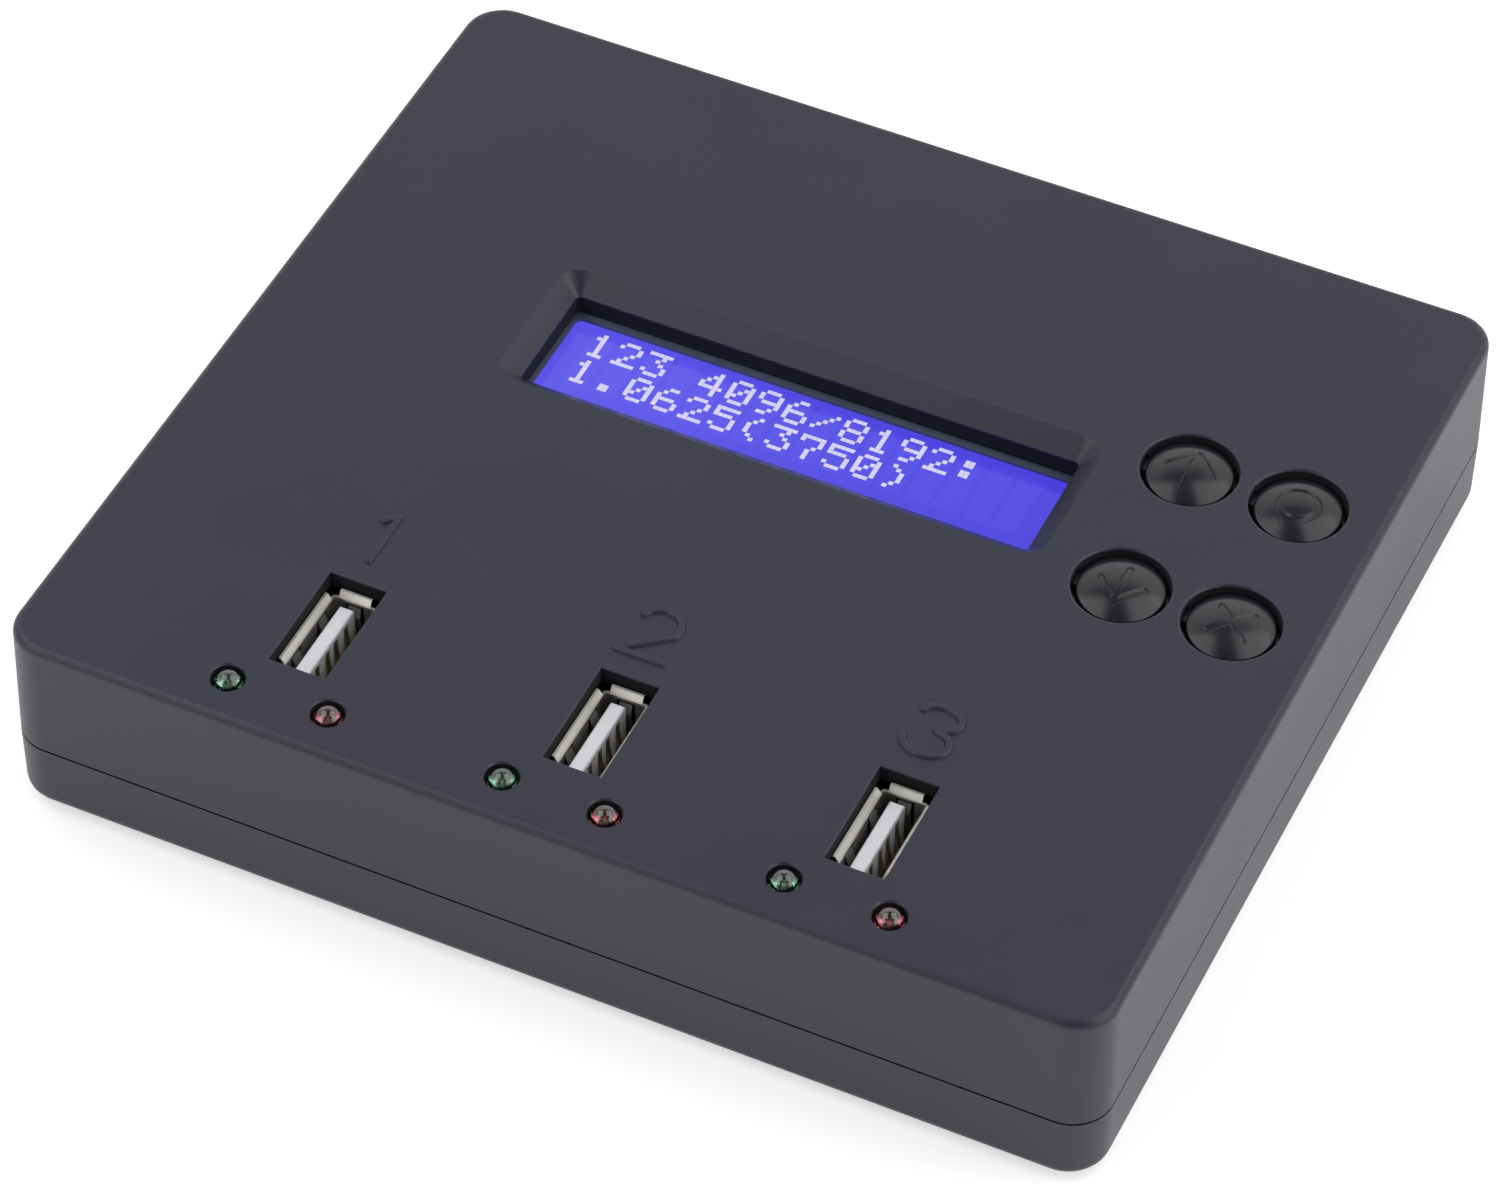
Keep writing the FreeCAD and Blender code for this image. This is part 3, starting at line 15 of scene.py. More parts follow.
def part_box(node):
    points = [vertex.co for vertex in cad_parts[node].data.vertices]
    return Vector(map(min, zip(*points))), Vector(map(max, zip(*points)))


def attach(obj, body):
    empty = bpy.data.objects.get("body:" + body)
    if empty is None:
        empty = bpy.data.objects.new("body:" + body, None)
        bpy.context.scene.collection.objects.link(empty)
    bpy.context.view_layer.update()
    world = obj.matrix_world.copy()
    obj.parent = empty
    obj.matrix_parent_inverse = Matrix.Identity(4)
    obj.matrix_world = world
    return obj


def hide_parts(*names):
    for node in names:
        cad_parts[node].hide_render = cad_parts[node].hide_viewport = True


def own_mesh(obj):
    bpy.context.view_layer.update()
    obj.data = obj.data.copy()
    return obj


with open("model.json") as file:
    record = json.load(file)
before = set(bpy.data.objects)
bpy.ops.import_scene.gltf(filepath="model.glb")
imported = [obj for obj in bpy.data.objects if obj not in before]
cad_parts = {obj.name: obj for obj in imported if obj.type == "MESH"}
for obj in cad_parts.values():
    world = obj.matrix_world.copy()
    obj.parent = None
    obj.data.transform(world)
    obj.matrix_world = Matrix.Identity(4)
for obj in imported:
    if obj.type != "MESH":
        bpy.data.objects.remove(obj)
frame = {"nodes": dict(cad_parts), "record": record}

MM = 0.001
LOG = logging.getLogger("duplicator")

Colour = tuple[float, float, float]
Opening = tuple[float, float, float, float, float]
Shape = tuple[np.ndarray, list[list[int]]]
Socket = bpy.types.NodeSocket
Material = bpy.types.Material

CELL_LEFT = -30.85 * MM
CELL_BACK = 17.6 * MM
CELL_PITCH = 3.69 * MM
ROW_PITCH = 4.74 * MM
DOT_WIDTH = 0.6 * MM
DOT_DEPTH = 0.575 * MM
CELL_WIDTH = 5 * DOT_WIDTH
CELL_DEPTH = 8 * DOT_DEPTH


def paint(red: int, green: int, blue: int) -> Colour:
    """A colour as it looks on a screen, in linear light.

    Args:
        red: Red from 0 to 255.
        green: Green from 0 to 255.
        blue: Blue from 0 to 255.

    Returns:
        The three linear values, each c to the power 2.2 after division by 255.
    """
    return tuple((value / 255) ** 2.2 for value in (red, green, blue))


# Finishes


class Graph:
    """Node tree of one finish, with a Principled shader at its end."""

    def __init__(self, name: str) -> None:
        """Start a material that has nothing but its shader."""
        self.material = bpy.data.materials.new(name)
        self.material.use_nodes = True
        self.nodes = self.material.node_tree.nodes
        self.links = self.material.node_tree.links
        self.shader = next(node for node in self.nodes if node.type == "BSDF_PRINCIPLED")
        self.place = self.nodes.new("ShaderNodeTexCoord").outputs["Object"]

    def set(self, **sockets: object) -> None:
        """Give the shader's own sockets fixed values, with _ for each space in a socket's name."""
        for name, value in sockets.items():
            self.shader.inputs[name.replace("_", " ")].default_value = value

    def noise(self, size: float, detail: float = 2.0) -> Socket:
        """Cloudy noise.

        Args:
            size: Size of its blotches in metres.
            detail: Octaves of finer noise on top.

        Returns:
            The noise's value, about 0.5.
        """
        noise = self.nodes.new("ShaderNodeTexNoise")
        noise.inputs["Scale"].default_value = 1 / size
        noise.inputs["Detail"].default_value = detail
        self.links.new(self.place, noise.inputs["Vector"])
        return noise.outputs["Fac"]

    def between(self, value: Socket, low: float, high: float, near: float = 0.35, far: float = 0.65
                ) -> Socket:
        """The value stretched from near..far to low..high."""
        node = self.nodes.new("ShaderNodeMapRange")
        node.inputs["From Min"].default_value = near
        node.inputs["From Max"].default_value = far
        node.inputs["To Min"].default_value = low
        node.inputs["To Max"].default_value = high
        self.links.new(value, node.inputs["Value"])
        return node.outputs["Result"]

    def blend(self, value: Socket, first: object, second: object) -> Socket:
        """A colour that goes from the first to the second as the value goes from 0 to 1."""
        mix = self.nodes.new("ShaderNodeMix")
        mix.data_type = "RGBA"
        self.links.new(value, mix.inputs["Factor"])
        for socket, colour in ((mix.inputs["A"], first), (mix.inputs["B"], second)):
            if isinstance(colour, Socket):
                self.links.new(colour, socket)
            else:
                socket.default_value = (*colour, 1)
        return mix.outputs["Result"]

    def compute(self, operation: str, first: object, second: object = 0.0) -> Socket:
        """One step of arithmetic on sockets or plain numbers."""
        node = self.nodes.new("ShaderNodeMath")
        node.operation = operation
        for socket, value in zip(node.inputs, (first, second)):
            if isinstance(value, Socket):
                self.links.new(value, socket)
            else:
                socket.default_value = value
        return node.outputs["Value"]

    def relief(self, height: Socket, depth: float) -> None:
        """Bump on the shader, depth metres from the height's 0 to its 1."""
        bump = self.nodes.new("ShaderNodeBump")
        bump.inputs["Distance"].default_value = depth
        self.links.new(height, bump.inputs["Height"])
        self.links.new(bump.outputs["Normal"], self.shader.inputs["Normal"])

    def inside(self, low: tuple[float, float, float], high: tuple[float, float, float]) -> Socket:
        """1 in the box between two corners, 0 elsewhere."""
        split = self.nodes.new("ShaderNodeSeparateXYZ")
        self.links.new(self.place, split.inputs["Vector"])
        within = 1.0
        for axis, start, end in zip("XYZ", low, high):
            after = self.compute("GREATER_THAN", split.outputs[axis], start)
            before = self.compute("LESS_THAN", split.outputs[axis], end)
            within = self.compute("MULTIPLY", after, within)
            within = self.compute("MULTIPLY", before, within)
        return within

    def feed(self, socket: str, value: Socket) -> None:
        """Drive one of the shader's sockets from a node."""
        self.links.new(value, self.shader.inputs[socket])


@dataclass(frozen=True)
class MouldedPlastic:
    """Plastic from a spark-eroded or polished mould: grain in its surface and faint clouds in its colour."""

    name: str
    colour: Colour
    roughness: float
    grain: float
    relief: float
    clouds: float = 0.06
    cloud_size: float = 18 * MM
    cloud_share: float = 0.6
    speck_share: float = 0.4
    specks_to_grain: float = 2.2
    patch_size: float = 9 * MM
    patch_spread: float = 0.01
    refraction: float = 1.52

    def material(self) -> Material:
        """Build the finish."""
        graph = Graph(self.name)
        graph.set(IOR=self.refraction)
        cloud = graph.compute("MULTIPLY", graph.noise(self.cloud_size, 3), self.cloud_share)
        speck = graph.noise(self.specks_to_grain * self.grain, 1)
        mixed = graph.compute("ADD", cloud, graph.compute("MULTIPLY", speck, self.speck_share))
        dark = tuple(c * (1 - self.clouds) for c in self.colour)
        light = tuple(c * (1 + self.clouds) for c in self.colour)
        colour = graph.blend(graph.between(mixed, 0, 1), dark, light)
        smooth, dull = self.roughness - self.patch_spread, self.roughness + self.patch_spread
        rough = graph.between(graph.noise(self.patch_size, 2), smooth, dull)
        colour, rough = self.with_painted_wall_shade(graph, colour, rough)
        graph.feed("Base Color", colour)
        graph.feed("Roughness", rough)
        graph.relief(graph.noise(self.grain, 2), self.relief)
        return graph.material

    def with_painted_wall_shade(self, graph: Graph, colour: Socket, rough: Socket) -> tuple[Socket, Socket]:
        """Colour and roughness as they are, the same all over, with no painted shade."""
        return colour, rough


@dataclass(frozen=True)
class CoverPlasticPaintedShade(MouldedPlastic):
    """Moulded plastic with painted shade: darker and duller on the sides of the well, the windows and the
    round holes, where little light comes in.

    Each group of openings is given as the x and y of its middle and its width and depth, with the height
    that their sides start below.
    """

    openings: tuple[Opening, ...] = ()
    painted_shade_reach: float = 12 * MM
    painted_wall_shade_share: float = 0.15

    def with_painted_wall_shade(self, graph: Graph, colour: Socket, rough: Socket) -> tuple[Socket, Socket]:
        """Paint shade on the sides of the openings: a darker colour, and a duller surface."""
        painted_wall_shade = 0.0
        for x, y, width, depth, top in self.openings:
            low = (x - width / 2, y - depth / 2, top - self.painted_shade_reach)
            high = (x + width / 2, y + depth / 2, top)
            painted_wall_shade = graph.compute("ADD", graph.inside(low, high), painted_wall_shade)
        # Painted shade: the sides of the openings keep only a small share of the plastic's colour.
        dark = tuple(c * self.painted_wall_shade_share for c in self.colour)
        return graph.blend(painted_wall_shade, colour, dark), graph.compute("MAXIMUM", rough, painted_wall_shade)


@dataclass(frozen=True)
class Metal:
    """Plated or bare sheet metal, smooth and a little duller in broad patches.

    If it has painted inner shade, the metal is darker by that share below the height given with it, as
    painted shade inside a receptacle.
    """

    name: str
    colour: Colour
    roughness: float
    grain: float = 0.2 * MM
    relief: float = 0.0001 * MM
    painted_inner_shade: float = 0.0
    painted_inner_shade_top: float = 0.0
    painted_inner_shade_fade: float = 0.8 * MM
    patch_size: float = 8 * MM
    patch_spread: float = 0.02
    dull_share: float = 0.92

    def material(self) -> Material:
        """Build the finish."""
        graph = Graph(self.name)
        graph.set(Metallic=1.0)
        patch = graph.noise(self.patch_size, 1)
        dull = tuple(c * self.dull_share for c in self.colour)
        colour = graph.blend(graph.between(patch, 0, 1), self.colour, dull)
        # Painted shade: darker below the given height, where the inside of a shell lies in shade.
        if self.painted_inner_shade:
            split = graph.nodes.new("ShaderNodeSeparateXYZ")
            graph.links.new(graph.place, split.inputs["Vector"])
            start = self.painted_inner_shade_top - self.painted_inner_shade_fade
            fade = graph.between(split.outputs["Z"], 0, 1, start, self.painted_inner_shade_top)
            colour = graph.blend(fade, tuple(c * (1 - self.painted_inner_shade) for c in self.colour), colour)
        smooth, rough = self.roughness - self.patch_spread, self.roughness + self.patch_spread
        graph.feed("Base Color", colour)
        graph.feed("Roughness", graph.between(patch, smooth, rough))
        graph.relief(graph.noise(self.grain, 1), self.relief)
        return graph.material


@dataclass(frozen=True)
class TintedLens:
    """Clear epoxy with a little dye, as a status light is cast from."""

    name: str
    colour: Colour
    clearness: float = 0.96
    refraction: float = 1.54
    skin_refraction: float = 1.6
    haze_size: float = 0.8 * MM
    deep_share: float = 0.85
    smooth: float = 0.02
    hazy: float = 0.06

    def material(self) -> Material:
        """Build the finish."""
        graph = Graph(self.name)
        graph.set(IOR=self.refraction, Transmission_Weight=self.clearness)
        graph.set(Coat_Weight=1.0, Coat_IOR=self.skin_refraction)
        haze = graph.noise(self.haze_size, 2)
        deep = tuple(c * self.deep_share for c in self.colour)
        graph.feed("Base Color", graph.blend(graph.between(haze, 0, 1), deep, self.colour))
        graph.feed("Roughness", graph.between(haze, self.smooth, self.hazy))
        return graph.material


@dataclass(frozen=True)
class LitScreen:
    """Backlit display film under glass, a little paler in each cell that can show a character.

    The glow goes from pale to deep as a measure runs from pale_end to deep_end. The measure is the place
    across the screen, in screen widths from its middle, with a slow drift added and a cell's lift taken off.
    """

    name: str
    deep: Colour
    pale: Colour
    middle: float
    width: float
    cells: int = 16
    rows: int = 2
    unlit: Colour = (0.01, 0.01, 0.05)
    roughness: float = 0.12
    gloss: float = 0.3
    strength: float = 0.86
    drift: float = 0.5
    drift_size: float = 22 * MM
    cell_lift: float = 0.22
    pale_end: float = -0.5
    deep_end: float = 0.8

    def material(self) -> Material:
        """Build the finish."""
        graph = Graph(self.name)
        graph.set(Roughness=self.roughness, Specular_IOR_Level=self.gloss, Emission_Strength=self.strength)
        graph.set(Base_Color=(*self.unlit, 1))
        split = graph.nodes.new("ShaderNodeSeparateXYZ")
        graph.links.new(graph.place, split.inputs["Vector"])
        across = split.outputs["X"]
        forward = graph.compute("MULTIPLY", split.outputs["Y"], -1)
        column = self.in_cell(graph, across, CELL_LEFT, CELL_PITCH, self.cells, CELL_WIDTH)
        row = self.in_cell(graph, forward, -CELL_BACK, ROW_PITCH, self.rows, CELL_DEPTH)
        lift = graph.compute("MULTIPLY", graph.compute("MULTIPLY", column, row), -self.cell_lift)
        from_middle = graph.compute("DIVIDE", graph.compute("SUBTRACT", across, self.middle), self.width)
        drift = graph.compute("MULTIPLY", graph.noise(self.drift_size, 1), self.drift)
        measure = graph.compute("ADD", graph.compute("ADD", from_middle, drift), lift)
        fade = graph.between(measure, 0, 1, self.pale_end, self.deep_end)
        graph.feed("Emission Color", graph.blend(fade, self.pale, self.deep))
        return graph.material

    def in_cell(self, graph: Graph, place: Socket, start: float, pitch: float, count: int, width: float
                ) -> Socket:
        """1 where a coordinate lies in one of a row of evenly spaced cells, 0 elsewhere.

        Args:
            graph: The finish's tree.
            place: The coordinate.
            start: Where the first cell starts.
            pitch: Distance from one cell to the next.
            count: Number of cells.
            width: Width of a cell.

        Returns:
            The mask.
        """
        steps = graph.compute("DIVIDE", graph.compute("SUBTRACT", place, start), pitch)
        within = graph.compute("LESS_THAN", graph.compute("FRACT", steps), width / pitch)
        after = graph.compute("GREATER_THAN", steps, 0.0)
        before = graph.compute("LESS_THAN", steps, float(count))
        return graph.compute("MULTIPLY", within, graph.compute("MULTIPLY", after, before))


@dataclass(frozen=True)
class Glow:
    """Evenly lit ink of the display's characters."""

    name: str
    colour: Colour
    strength: float
    unlit: Colour = (0.02, 0.02, 0.05)
    roughness: float = 0.3
    patch_size: float = 1.2 * MM
    soft_share: float = 0.93

    def material(self) -> Material:
        """Build the finish."""
        graph = Graph(self.name)
        graph.set(Roughness=self.roughness, Emission_Strength=self.strength)
        graph.set(Base_Color=(*self.unlit, 1))
        patch = graph.noise(self.patch_size, 1)
        soft = tuple(c * self.soft_share for c in self.colour)
        graph.feed("Emission Color", graph.blend(graph.between(patch, 0, 1), soft, self.colour))
        return graph.material


@dataclass(frozen=True)
class Laminate:
    """Glass-fibre board under green solder mask, with copper tracks showing through."""

    name: str
    mask: Colour
    track: Colour
    roughness: float = 0.28
    coat: float = 0.3
    run: float = 5 * MM
    pitch: float = 1.3 * MM
    half_track: float = 0.16 * MM
    patch_size: float = 12 * MM
    patch_start: float = 0.46
    patch_end: float = 0.54
    track_height: float = 0.03 * MM

    def material(self) -> Material:
        """Build the finish: tracks are the joints of a brick pattern, shown only in some patches."""
        graph = Graph(self.name)
        graph.set(Roughness=self.roughness, Coat_Weight=self.coat)
        cells = graph.nodes.new("ShaderNodeTexBrick")
        cells.inputs["Scale"].default_value = 1.0
        cells.inputs["Brick Width"].default_value = self.run
        cells.inputs["Row Height"].default_value = self.pitch
        cells.inputs["Mortar Size"].default_value = self.half_track
        graph.links.new(graph.place, cells.inputs["Vector"])
        patch = graph.between(graph.noise(self.patch_size, 1), 0, 1, self.patch_start, self.patch_end)
        band = graph.compute("MULTIPLY", cells.outputs["Fac"], patch)
        graph.feed("Base Color", graph.blend(band, self.mask, self.track))
        graph.relief(band, self.track_height)
        return graph.material


CASE_GREY = paint(44, 45, 59)
CASE_ROUGHNESS = 0.38
CASE_GRAIN = 0.11 * MM
CASE_RELIEF = 0.005 * MM
FINISHES = {
    "case_plastic": MouldedPlastic("HousingPlastic", CASE_GREY, CASE_ROUGHNESS, CASE_GRAIN, CASE_RELIEF),
    "button_plastic": MouldedPlastic("ButtonPlastic", paint(34, 35, 41), 0.22, 0.3 * MM, 0.001 * MM),
    "black_plastic": MouldedPlastic("BlackPlastic", paint(26, 26, 28), 0.42, 0.2 * MM, 0.004 * MM),
    "foot_rubber": MouldedPlastic("FootRubber", paint(34, 34, 35), 0.75, 0.15 * MM, 0.012 * MM, 0.2),
    "chip_epoxy": MouldedPlastic("ChipEpoxy", paint(30, 30, 31), 0.55, 0.08 * MM, 0.006 * MM),
    "insulator": MouldedPlastic("Insulator", paint(232, 234, 240), 0.34, 0.3 * MM, 0.003 * MM, 0.03),
    "diffuser": MouldedPlastic("Diffuser", paint(225, 228, 238), 0.4, 0.4 * MM, 0.003 * MM, 0.03),
    # The shells are darkened below their mouths as painted shade inside the receptacles.
    "plated_shell": Metal("PlatedShell", paint(255, 252, 243), 0.46, painted_inner_shade=0.6, painted_inner_shade_top=24.5 * MM),
    "contact_gold": Metal("ContactGold", paint(226, 202, 158), 0.4),
    "tinned_lead": Metal("TinnedLead", paint(205, 206, 208), 0.34),
    "screw_steel": Metal("ScrewSteel", paint(168, 168, 172), 0.36, 0.2 * MM, 0.004 * MM),
    "spring_steel": Metal("SpringSteel", paint(190, 190, 192), 0.3),
    "can_metal": Metal("CanMetal", paint(206, 207, 210), 0.3),
    "bezel_steel": MouldedPlastic("BezelPaint", paint(84, 90, 112), 0.42, 0.25 * MM, 0.003 * MM),
    "green_lens": TintedLens("GreenLens", paint(120, 180, 145)),
    "red_lens": TintedLens("RedLens", paint(196, 110, 118)),
    "display_glass": LitScreen("LitScreen", paint(72, 64, 228), paint(98, 91, 246), -1.6 * MM, 65 * MM),
    "board_laminate": Laminate("BoardLaminate", paint(18, 84, 52), paint(58, 130, 80)),
}
# Where the top cover paints shade: the display well, the port windows with the status light holes, and the
# button holes, each as x, y, width, depth and the height that their sides start below.
WELL = (-1.5 * MM, 12 * MM, 77 * MM, 20 * MM, 24.3 * MM)
PORTS_AND_LIGHTS = (0, -46 * MM, 104 * MM, 25 * MM, 26.35 * MM)
BUTTON_HOLES = (50 * MM, 12 * MM, 30 * MM, 42 * MM, 26.2 * MM)
COVER = CoverPlasticPaintedShade("CoverPlasticPaintedShade", CASE_GREY, CASE_ROUGHNESS, CASE_GRAIN, CASE_RELIEF,
                     openings=(WELL, PORTS_AND_LIGHTS, BUTTON_HOLES))
INK = Glow("CharacterInk", paint(212, 208, 240), 1.0)


# Surfaces


def piece(name: str, vertices: np.ndarray, faces: list[list[int]], material: Material,
          body: str, crease: float = 40) -> bpy.types.Object:
    """Put a surface into the scene as one piece of the object.

    Args:
        name: The piece's name.
        vertices: Points in metres, one row each.
        faces: Lists of point numbers, anticlockwise seen from outside.
        material: Its finish.
        body: The body that it moves with.
        crease: Angle between two faces, in degrees, above which their edge shows sharp.

    Returns:
        The new object, with its place in its mesh.
    """
    mesh = bpy.data.meshes.new(name)
    mesh.from_pydata(vertices.tolist(), [], faces)
    mesh.polygons.foreach_set("use_smooth", np.full(len(faces), True))
    mesh.set_sharp_from_angle(angle=math.radians(crease))
    mesh.materials.append(material)
    mesh.update()
    made = bpy.data.objects.new(name, mesh)
    bpy.context.scene.collection.objects.link(made)
    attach(made, body)
    LOG.info("%s: %d points, %d faces, rides on %s", name, len(vertices), len(faces), body)
    return made


def slab(inside: np.ndarray, x: np.ndarray, y: np.ndarray, top: np.ndarray, bottom: np.ndarray) -> Shape:
    """A closed body over the chosen cells of a grid.

    Its top and bottom are the same cells at two heights, and each edge that only one chosen cell has gets a
    side face.

    Args:
        inside: Which cells it covers, rows by columns.
        x: Grid points' x, one row and one column more than the cells.
        y: Grid points' y.
        top: Height of the top at each grid point.
        bottom: Height of the bottom at each grid point.

    Returns:
        Points and quads.
    """
    rows, columns = x.shape
    number = np.arange(rows * columns).reshape(rows, columns)
    corner = np.stack([number[:-1, :-1], number[:-1, 1:], number[1:, 1:], number[1:, :-1]], -1)
    up = corner[inside]
    down = up[:, ::-1] + rows * columns
    starts = np.concatenate([up[:, [0, 1]], up[:, [1, 2]], up[:, [2, 3]], up[:, [3, 0]]])
    low_first = np.sort(starts, 1)
    key = low_first[:, 0] * rows * columns + low_first[:, 1]
    _, place, count = np.unique(key, return_inverse=True, return_counts=True)
    rim = starts[count[place] == 1]
    side = np.stack([rim[:, 1], rim[:, 0], rim[:, 0] + rows * columns, rim[:, 1] + rows * columns], -1)
    points = np.concatenate([np.stack([x, y, level], -1).reshape(-1, 3) for level in (top, bottom)])
    faces = np.concatenate([up, down, side])
    used, compact = np.unique(faces, return_inverse=True)
    return points[used], compact.reshape(faces.shape).tolist()


def disc(count: int) -> tuple[np.ndarray, np.ndarray]:
    """A square grid bent into a disc, so that every square ring becomes a circle of evenly spaced points.

    A point (a, b) of the square from -1 to 1 goes to radius max(|a|, |b|). Its angle is a quarter of pi
    times b / a on the left and right sides, and a half of pi less a quarter of pi times a / b on the others.

    Args:
        count: Cells along each side.

    Returns:
        Radius and angle at each grid point.
    """
    line = np.linspace(-1, 1, count + 1)
    a, b = np.meshgrid(line, line)
    wide = np.abs(a) >= np.abs(b)
    radius = np.where(wide, np.abs(a), np.abs(b))
    over_a = np.where(a == 0, 1, a)
    over_b = np.where(b == 0, 1, b)
    sideways = math.pi / 4 * b / over_a + math.pi * (a < 0)
    upright = math.pi / 2 - math.pi / 4 * a / over_b + math.pi * (b < 0)
    return radius, np.where(wide, sideways, upright)


def border(count: int) -> np.ndarray:
    """Point numbers round a square grid of so many cells a side, anticlockwise from its first corner."""
    number = np.arange((count + 1) ** 2).reshape(count + 1, count + 1)
    return np.concatenate([number[0, :-1], number[:-1, -1], number[-1, :0:-1], number[:0:-1, 0]])


def block(low: np.ndarray, high: np.ndarray, bevel: float) -> Shape:
    """A box with its twelve edges cut off at 45 degrees.

    Every corner of the box gives three points, each drawn in by the bevel along two of the axes.

    Args:
        low: Lowest corner.
        high: Highest corner.
        bevel: Width of the cut on each face.

    Returns:
        Points and faces.
    """
    sign = np.array([(a, b, c) for a in (0, 1) for b in (0, 1) for c in (0, 1)])
    corner = low + sign * (high - low)
    inward = bevel * (1 - 2 * sign)
    keep = 1 - np.eye(3)
    points = (corner[:, None] + inward[:, None] * keep[None]).reshape(-1, 3)
    solid = bmesh.new()
    for point in points:
        solid.verts.new(point)
    bmesh.ops.convex_hull(solid, input=solid.verts)
    bmesh.ops.dissolve_limit(solid, angle_limit=math.radians(1), verts=solid.verts, edges=solid.edges)
    solid.verts.index_update()
    hull = np.array([tuple(vertex.co) for vertex in solid.verts])
    faces = [[vertex.index for vertex in face.verts] for face in solid.faces]
    solid.free()
    return hull, faces


def turned(outline: np.ndarray, centre: tuple[float, float, float], count: int = 32) -> Shape:
    """A closed body turned about an upright axis, with x = r cos(angle) and y = r sin(angle).

    Args:
        outline: Radius and height of its section, from the axis at the bottom round to the axis at the top.
        centre: Foot of the axis.
        count: Number of steps round it.

    Returns:
        Points and faces, with one point where the section meets the axis.
    """
    angle = np.linspace(0, 2 * math.pi, count, endpoint=False)
    ring = outline[1:-1]
    points = np.stack([ring[:, :1] * np.cos(angle), ring[:, :1] * np.sin(angle),
                       np.broadcast_to(ring[:, 1:], (len(ring), count))], -1).reshape(-1, 3)
    number = np.arange(len(points)).reshape(len(ring), count)
    beside = np.roll(number, -1, 1)
    sides = np.stack([number[:-1], beside[:-1], beside[1:], number[1:]], -1).reshape(-1, 4)
    bottom, top = len(points), len(points) + 1
    foot = np.stack([np.full(count, bottom), beside[0], number[0]], -1)
    head = np.stack([np.full(count, top), number[-1], beside[-1]], -1)
    ends = [(0, 0, outline[0, 1]), (0, 0, outline[-1, 1])]
    return np.concatenate([points, ends]) + centre, sides.tolist() + foot.tolist() + head.tolist()


def joined(bodies: list[Shape]) -> Shape:
    """Several bodies as one list of points and one of faces."""
    points, faces, start = [], [], 0
    for body_points, body_faces in bodies:
        points.append(body_points)
        faces += [[start + corner for corner in face] for face in body_faces]
        start += len(body_points)
    return np.concatenate(points), faces


def arc(centre: tuple[float, float], radius: tuple[float, float], start: float, end: float, count: int = 40
        ) -> np.ndarray:
    """Points on an ellipse: centre plus each radius times the cosine and sine of an even run of angles.

    Args:
        centre: Its middle.
        radius: Half its width and half its height.
        start: First angle in degrees, anticlockwise from +x.
        end: Last angle in degrees.
        count: Number of points.

    Returns:
        The points, one row each.
    """
    angle = np.radians(np.linspace(start, end, count))
    return np.stack([centre[0] + radius[0] * np.cos(angle), centre[1] + radius[1] * np.sin(angle)], -1)


def distance_to(strokes: list[np.ndarray], x: np.ndarray, y: np.ndarray) -> np.ndarray:
    """Distance from each grid point to the nearest stroke.

    For each straight run of a stroke the point is projected on the run, held between its ends, and the
    length of what is left is the distance. The least over all runs counts.

    Args:
        strokes: Lines as arrays of points.
        x: Grid points' x.
        y: Grid points' y.

    Returns:
        The distance at each grid point.
    """
    nearest = np.full(x.shape, np.inf)
    for stroke in strokes:
        for (ax, ay), (bx, by) in zip(stroke[:-1], stroke[1:]):
            dx, dy = bx - ax, by - ay
            along = ((x - ax) * dx + (y - ay) * dy) / (dx * dx + dy * dy)
            along = np.clip(along, 0, 1)
            nearest = np.minimum(nearest, np.hypot(x - ax - along * dx, y - ay - along * dy))
    return nearest


def shoulder(distance: np.ndarray, half: float, slope: float) -> np.ndarray:
    """A stroke's cross-section: 1 on its flat middle, easing to 0 across its sloping sides.

    With u going from 0 to 1 over the side, the height is 1 - u * u * (3 - 2 * u).
    """
    u = np.clip((distance - (half - slope)) / slope, 0, 1)
    return 1 - u * u * (3 - 2 * u)


# Case


@dataclass
class Case:
    """The raised numerals on the case's top, behind the ports."""

    numeral_y: float = -28.3 * MM
    numeral_x: tuple[float, float, float] = (-35.7 * MM, -1.2 * MM, 33.3 * MM)
    half_stroke: float = 0.54 * MM
    foot: float = 0.1 * MM
    rise: float = 0.34 * MM
    sunk: float = 0.16 * MM
    floor: float = 0.3 * MM
    slope_share: float = 0.6
    grid: float = 0.06 * MM

    def numeral(self, digit: int) -> list[np.ndarray]:
        """Centrelines of a digit about its own middle, in millimetres."""
        if digit == 1:
            return [np.array([(-0.9, 2.6), (0.45, 3.8), (0.45, -3.8)])]
        if digit == 2:
            bowl = arc((0.2, 1.35), (2.55, 2.45), 158, -22)
            return [np.concatenate([bowl, [(-2.8, -3.8), (2.9, -3.8)]])]
        upper = arc((0.1, 2.05), (2.5, 1.75), 160, -85)
        lower = arc((0.0, -1.8), (2.75, 2.0), 80, -178)
        return [upper, lower]

    def build(self, top: float) -> None:
        """Raise the three numerals from the top face.

        A numeral's top is as far above the face as its cross-section says, and its foot runs on below the
        face, so that the two meet in a clean line.

        Args:
            top: Height of the top face.
        """
        half = self.half_stroke + self.foot
        for digit, middle in enumerate(self.numeral_x, start=1):
            strokes = [stroke * MM + (middle, self.numeral_y) for stroke in self.numeral(digit)]
            points = np.concatenate(strokes)
            low = points.min(0) - 2 * half
            high = points.max(0) + 2 * half
            x, y = np.meshgrid(np.arange(low[0], high[0], self.grid), np.arange(low[1], high[1], self.grid))
            distance = distance_to(strokes, x, y)
            section = shoulder(distance, half, self.slope_share * half)
            crest = top - self.sunk + (self.rise + self.sunk) * section
            near = distance < half + self.grid
            inside = near[:-1, :-1] & near[:-1, 1:] & near[1:, 1:] & near[1:, :-1]
            vertices, faces = slab(inside, x, y, crest, np.full(x.shape, top - self.floor))
            piece(f"numeral_{digit}", vertices, faces, Shop.finish("case_plastic"), "case")


# Display


